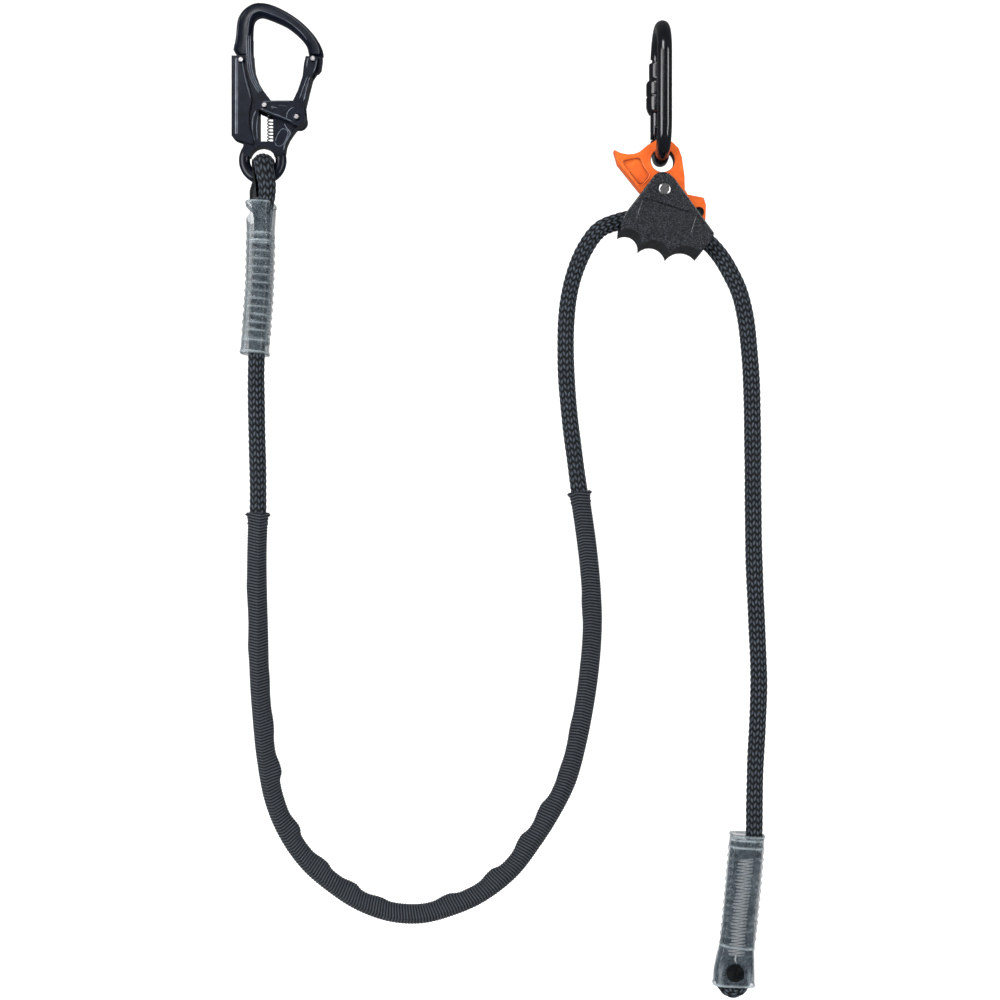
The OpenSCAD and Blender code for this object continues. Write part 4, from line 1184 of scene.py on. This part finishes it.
# Painted highlight on the crest of each stroke, broken up by the yarns; painted shade in the grooves.
crown = g.math("MULTIPLY", g.spread(braid["Stroke"], 0.55, 0.97),
               g.math("MULTIPLY_ADD", grain.outputs["Mask"], 0.5, 0.5))
crown = g.math("MULTIPLY", crown,
               g.math("MULTIPLY_ADD", braid["Yarn"], 0.6, gloss(g, grain, 0.15, 0.5, "Wear")))
height = g.math("MULTIPLY_ADD", braid["Yarn"], 0.35,
                g.math("MULTIPLY_ADD", grain.outputs["Mask"], 0.2, braid["Stroke"]))
put(g, shader, Roughness=gloss(g, grain, 0.55, 0.78), Normal=g.bump(height, 0.7, 0.4 * MM),
    Base_Color=g.blend(g.spread(braid["Stroke"], 0.3, 0.92), GROOVE_SHADE, g.blend(crown, STROKE, CREST_HIGHLIGHT)))
FINISH["rope"] = material
print("rope finish made")

# %% [markdown]
# ## Tubular webbing
# A woven tube shows fine ribs across it. Each rib's crown is coloured pale, a painted highlight, and
# the groove between ribs dark, painted shade. The ribs follow the UV map along the tube, and single
# threads cross them.

# %% Webbing finish
material, g, shader = start("black ribbed webbing", Sheen_Weight=0.06, Sheen_Roughness=0.4,
                            Specular_IOR_Level=0.25)
weave = woven(g, rib_group)
grain = grain_in(g, 2600.0, 0.6)
# Painted highlight on each rib's crown and painted shade between ribs.
thready = g.math("MULTIPLY", g.spread(weave["Rib"], 0.25, 0.95),
                 g.math("MULTIPLY_ADD", weave["Thread"], 0.35, 0.65))
ribbed = g.math("MULTIPLY", thready, g.math("MULTIPLY_ADD", grain.outputs["Mask"], 0.5, 0.5))
weave_height = g.math("MULTIPLY_ADD", weave["Thread"], 0.25, weave["Rib"])
put(g, shader, Base_Color=g.blend(ribbed, color(0.0018, 0.0026, 0.0048), color(0.058, 0.070, 0.086)),
    Roughness=gloss(g, grain, 0.6, 0.85), Normal=g.bump(weave_height, 0.8, 0.22 * MM))
FINISH["webbing"] = material
print("webbing finish made")

# %% [markdown]
# ## Clear shrunk sleeve
# Each sewn eye is covered by clear plastic shrunk onto it. It is milky rather than glassy. Its ribs,
# rims and lengthwise streaks are painted paler and denser, as painted highlights. A partly see-through
# surface shows the rope and the stitching under it without the cost of refraction, and Layer Weight
# makes it denser where the wall is seen edge on.

# %% Sleeve finish
material, g, shader = start("clear shrunk plastic", Coat_Weight=0.35, Coat_Roughness=0.08,
                            Specular_IOR_Level=0.4)
grain = grain_in(g, 1200.0, 0.2)
cloud = g.noise(g.place(), 140.0, 5.0, 0.65)
pale = g.add("Attribute", attribute_name="marks").outputs["Fac"]
edge_on = g.add("LayerWeight", {"Blend": 0.35}).outputs["Facing"]
murky = g.blend(g.spread(cloud, 0.38, 0.66), color(0.05, 0.068, 0.082), color(0.105, 0.132, 0.152))
milk = g.math("MULTIPLY_ADD", g.math("POWER", edge_on, 2.0), 0.25, g.spread(cloud, 0.35, 0.7, 0.22, 0.36))
# Painted highlights: the marks turn ribs, rims and streaks paler and denser.
milk = g.math("MULTIPLY_ADD", pale, 0.42, milk)
put(g, shader, Base_Color=g.blend(pale, murky, color(0.27, 0.315, 0.34)),
    Roughness=gloss(g, grain, 0.16, 0.28), Alpha=milk, Normal=g.bump(cloud, 0.25, 0.6 * MM))
FINISH["clear_sleeve"] = material
print("sleeve finish made")

# %% [markdown]
# ## Thread, plastics and coats
# The bar tacks are pale polyester thread. The thimble is moulded plastic. The grab's body has a
# powder coat with pale specks, and its cam is anodised orange.

# %% Thread
material, g, shader = start("pale thread", Sheen_Weight=0.2, Sheen_Roughness=0.4)
grain = grain_in(g, 2400.0, 0.7)
put(g, shader, Base_Color=g.blend(grain.outputs["Mask"], color(0.24, 0.245, 0.25), color(0.50, 0.51, 0.52)),
    Roughness=gloss(g, grain, 0.5, 0.7, "Wear"), Normal=g.bump(grain.outputs["Mask"], 0.5, 0.2 * MM))
FINISH["stitching"] = material

# %% Moulded plastic
material, g, shader = start("moulded black plastic", Specular_IOR_Level=0.5)
grain = grain_in(g, 1500.0, 0.3)
put(g, shader,
    Base_Color=g.blend(grain.outputs["Wear"], color(0.004, 0.0045, 0.006), color(0.010, 0.011, 0.013)),
    Roughness=gloss(g, grain, 0.2, 0.34), Normal=g.bump(grain.outputs["Mask"], 0.12, 0.1 * MM))
FINISH["thimble_plastic"] = material

# %% Speckled powder coat
material, g, shader = start("speckled powder coat", Coat_Weight=0.05, Coat_Roughness=0.3,
                            Specular_IOR_Level=0.3)
grain = grain_in(g, 1500.0, 0.9)
speck = g.spread(grain.outputs["Mask"], 0.62, 0.95)
put(g, shader, Base_Color=g.blend(speck, color(0.0024, 0.0031, 0.0050), color(0.032, 0.037, 0.046)),
    Roughness=gloss(g, grain, 0.36, 0.56), Normal=g.bump(grain.outputs["Mask"], 0.5, 0.12 * MM))
FINISH["housing_black"] = material

# %% Painted highlights on the coat's edges
material, g, shader = start("edge highlight coat", Metallic=0.4)
grain = grain_in(g, 900.0, 0.8)
put(g, shader,
    Base_Color=g.blend(grain.outputs["Mask"], color(0.05, 0.052, 0.058), color(0.26, 0.265, 0.27)),
    Roughness=gloss(g, grain, 0.35, 0.5, "Wear"))
FINISH["edge_highlight_coat"] = material

# %% Orange anodising
material, g, shader = start("orange anodised", Metallic=0.25, Coat_Weight=0.25, Coat_Roughness=0.15)
grain = grain_in(g, 2200.0)
spot = g.add("SeparateXYZ", {0: g.place()})
SOFT_EDGE = 0.15 * MM


def within(centre_mm, radius):
    """1 closer to a front to back axis than the radius, fading out over its soft edge."""
    away = off_axis(g, spot, centre_mm[0] * MM, centre_mm[1] * MM)
    return g.spread(away, radius - SOFT_EDGE, radius + SOFT_EDGE, 1.0, 0.0)


# Painted shade: the pocket's wall is coloured dark between its floor and the cam's face, and so are the
# walls of both holes
depth = g.math("ABSOLUTE", spot.outputs[1])
between = g.math("MULTIPLY", g.spread(depth, 4.7 * MM, 4.9 * MM, 1.0, 0.0),
                 g.spread(depth, 3.4 * MM, 3.6 * MM))
wall = g.math("MULTIPLY", within((279.3, -114.0), 12.5 * MM), between)
hole_shade = g.math("MAXIMUM", within(CAM_EYE, 9.1 * MM), within(CAM_TAIL_HOLE, 3.9 * MM))
shadow = g.math("MAXIMUM", wall, hole_shade)
orange = g.blend(grain.outputs["Wear"], color(0.80, 0.115, 0.012), color(0.90, 0.165, 0.02))
put(g, shader, Base_Color=g.blend(shadow, orange, color(0.035, 0.012, 0.008)),
    Roughness=gloss(g, grain, 0.28, 0.42), Normal=g.bump(grain.outputs["Mask"], 0.2, 0.06 * MM))
FINISH["cam_orange"] = material

# %% Painted shade: the dark orange line in the cam's pocket
material, g, shader = start("painted shade orange", Roughness=0.5)
shade = g.noise(g.place(), 500.0)
put(g, shader, Base_Color=g.blend(shade, color(0.13, 0.012, 0.003), color(0.34, 0.04, 0.006)))
FINISH["painted_shade_orange"] = material
print("finishes", len(FINISH))

# %% [markdown]
# ## Giving every part its finish
# The record says which finish each part of the frame has, and each new piece carries the name of
# its own, so one loop dresses everything.

# %% Dress every part
wanted = {part["node"]: part["material_slot"] for part in frame["record"]["subparts"]}
for node, obj in NODES.items():
    obj["dress"] = obj.get("dress", wanted[node])
for obj in bpy.data.objects:
    name = obj.get("dress") or obj.get("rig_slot")
    if obj.type == "MESH" and name:
        obj.data.materials.clear()
        obj.data.materials.append(FINISH[name])

# %% [markdown]
# ## The stage
# A lanyard is shown on white, hanging. A wide pale bowl stands round it: the floor curves up on
# all sides, so every view has the same pale ground, and glossy black parts don't mirror it.

# %% Pale bowl
FLOOR = cad_low[2] - 0.06
FLAT_R, CURVE_R, BOWL_TOP = 1.9, 1.1, 2.6
profile = [(1.2, 0.0), (FLAT_R, 0.0)]
for a in (math.radians(d) for d in range(10, 91, 10)):
    profile.append((FLAT_R + CURVE_R * math.sin(a), CURVE_R - CURVE_R * math.cos(a)))
profile.append((FLAT_R + CURVE_R, BOWL_TOP))
spokes = [math.radians(d) for d in range(0, 360, 5)]
stage = bmesh.new()
middle_x = (cad_low[0] + cad_high[0]) / 2
rings = [[stage.verts.new((middle_x + r * math.cos(a), r * math.sin(a), FLOOR + z)) for a in spokes]
         for r, z in profile]
stage.faces.new(rings[0])
for low, high in zip(rings, rings[1:]):
    for i in range(len(spokes)):
        k = (i + 1) % len(spokes)
        stage.faces.new((low[i], low[k], high[k], high[i]))
bmesh.ops.recalc_face_normals(stage, faces=stage.faces)
bowl_mesh = bpy.data.meshes.new("pale_bowl")
stage.to_mesh(bowl_mesh)
stage.free()
bowl = linked("pale_bowl", bowl_mesh)
for face in bowl.data.polygons:
    face.use_smooth = True
material, g, shader = start("pale paper", Specular_IOR_Level=0.1, Roughness=0.9,
                            Emission_Color=color(1, 1, 1), Emission_Strength=0.22)
fibres = g.noise(g.place(), 30.0, 3.0)
put(g, shader, Base_Color=g.blend(fibres, color(0.88, 0.88, 0.88), color(0.92, 0.92, 0.92)))
bowl.data.materials.append(material)
bowl.visible_glossy = False
bowl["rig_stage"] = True
print("bowl floor at", round(FLOOR, 3))

# %% [markdown]
# ## Light
# Long soft boxes draw long soft highlights along the rods and the ring, which is how black metal
# is lit in a studio. The world gives the pale background and a dim even fill.

# %% Studio light
def soft_box(name, place, size, watts, target=(0.18, 0.0, -0.36)):
    light = bpy.data.lights.new(name, "AREA")
    light.shape, light.energy = "RECTANGLE", watts
    light.size, light.size_y = size
    lamp = bpy.data.objects.new(name, light)
    lamp.location = place
    aim = Vector(target) - Vector(place)
    lamp.rotation_euler = aim.to_track_quat("-Z", "Y").to_euler()
    lamp.visible_camera = False
    bpy.context.scene.collection.objects.link(lamp)
    return lamp


soft_box("key", (-0.7, -1.7, 1.1), (0.9, 0.9), 18)
soft_box("left box", (-1.05, -0.95, -0.25), (0.8, 1.5), 20)
soft_box("right box", (1.45, -1.05, -0.25), (0.42, 1.5), 14)
overhead = soft_box("top", (0.2, 0.2, 1.6), (1.5, 1.0), 18)
overhead.visible_glossy = False
rear = soft_box("rear", (0.6, 1.7, 0.7), (1.4, 1.0), 14)
rear.visible_glossy = False

world = bpy.data.worlds.new("pale room")
bpy.context.scene.world = world
world.use_nodes = True
g = Graph(world.node_tree)
ground = world.node_tree.nodes["Background"]
ray = g.add("LightPath")
seen = ray.outputs["Is Camera Ray"]
shiny = ray.outputs["Is Glossy Ray"]
strength = g.math("ADD", g.spread(seen, 0.0, 1.0, 0.3, 0.95), g.math("MULTIPLY", shiny, -0.2))
g.tree.links.new(strength, ground.inputs["Strength"])
ground.inputs["Color"].default_value = (1, 1, 1, 1)
bpy.context.scene.view_settings.view_transform = "Standard"

# %% Sizes and finish
bpy.context.view_layer.update()
low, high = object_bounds()
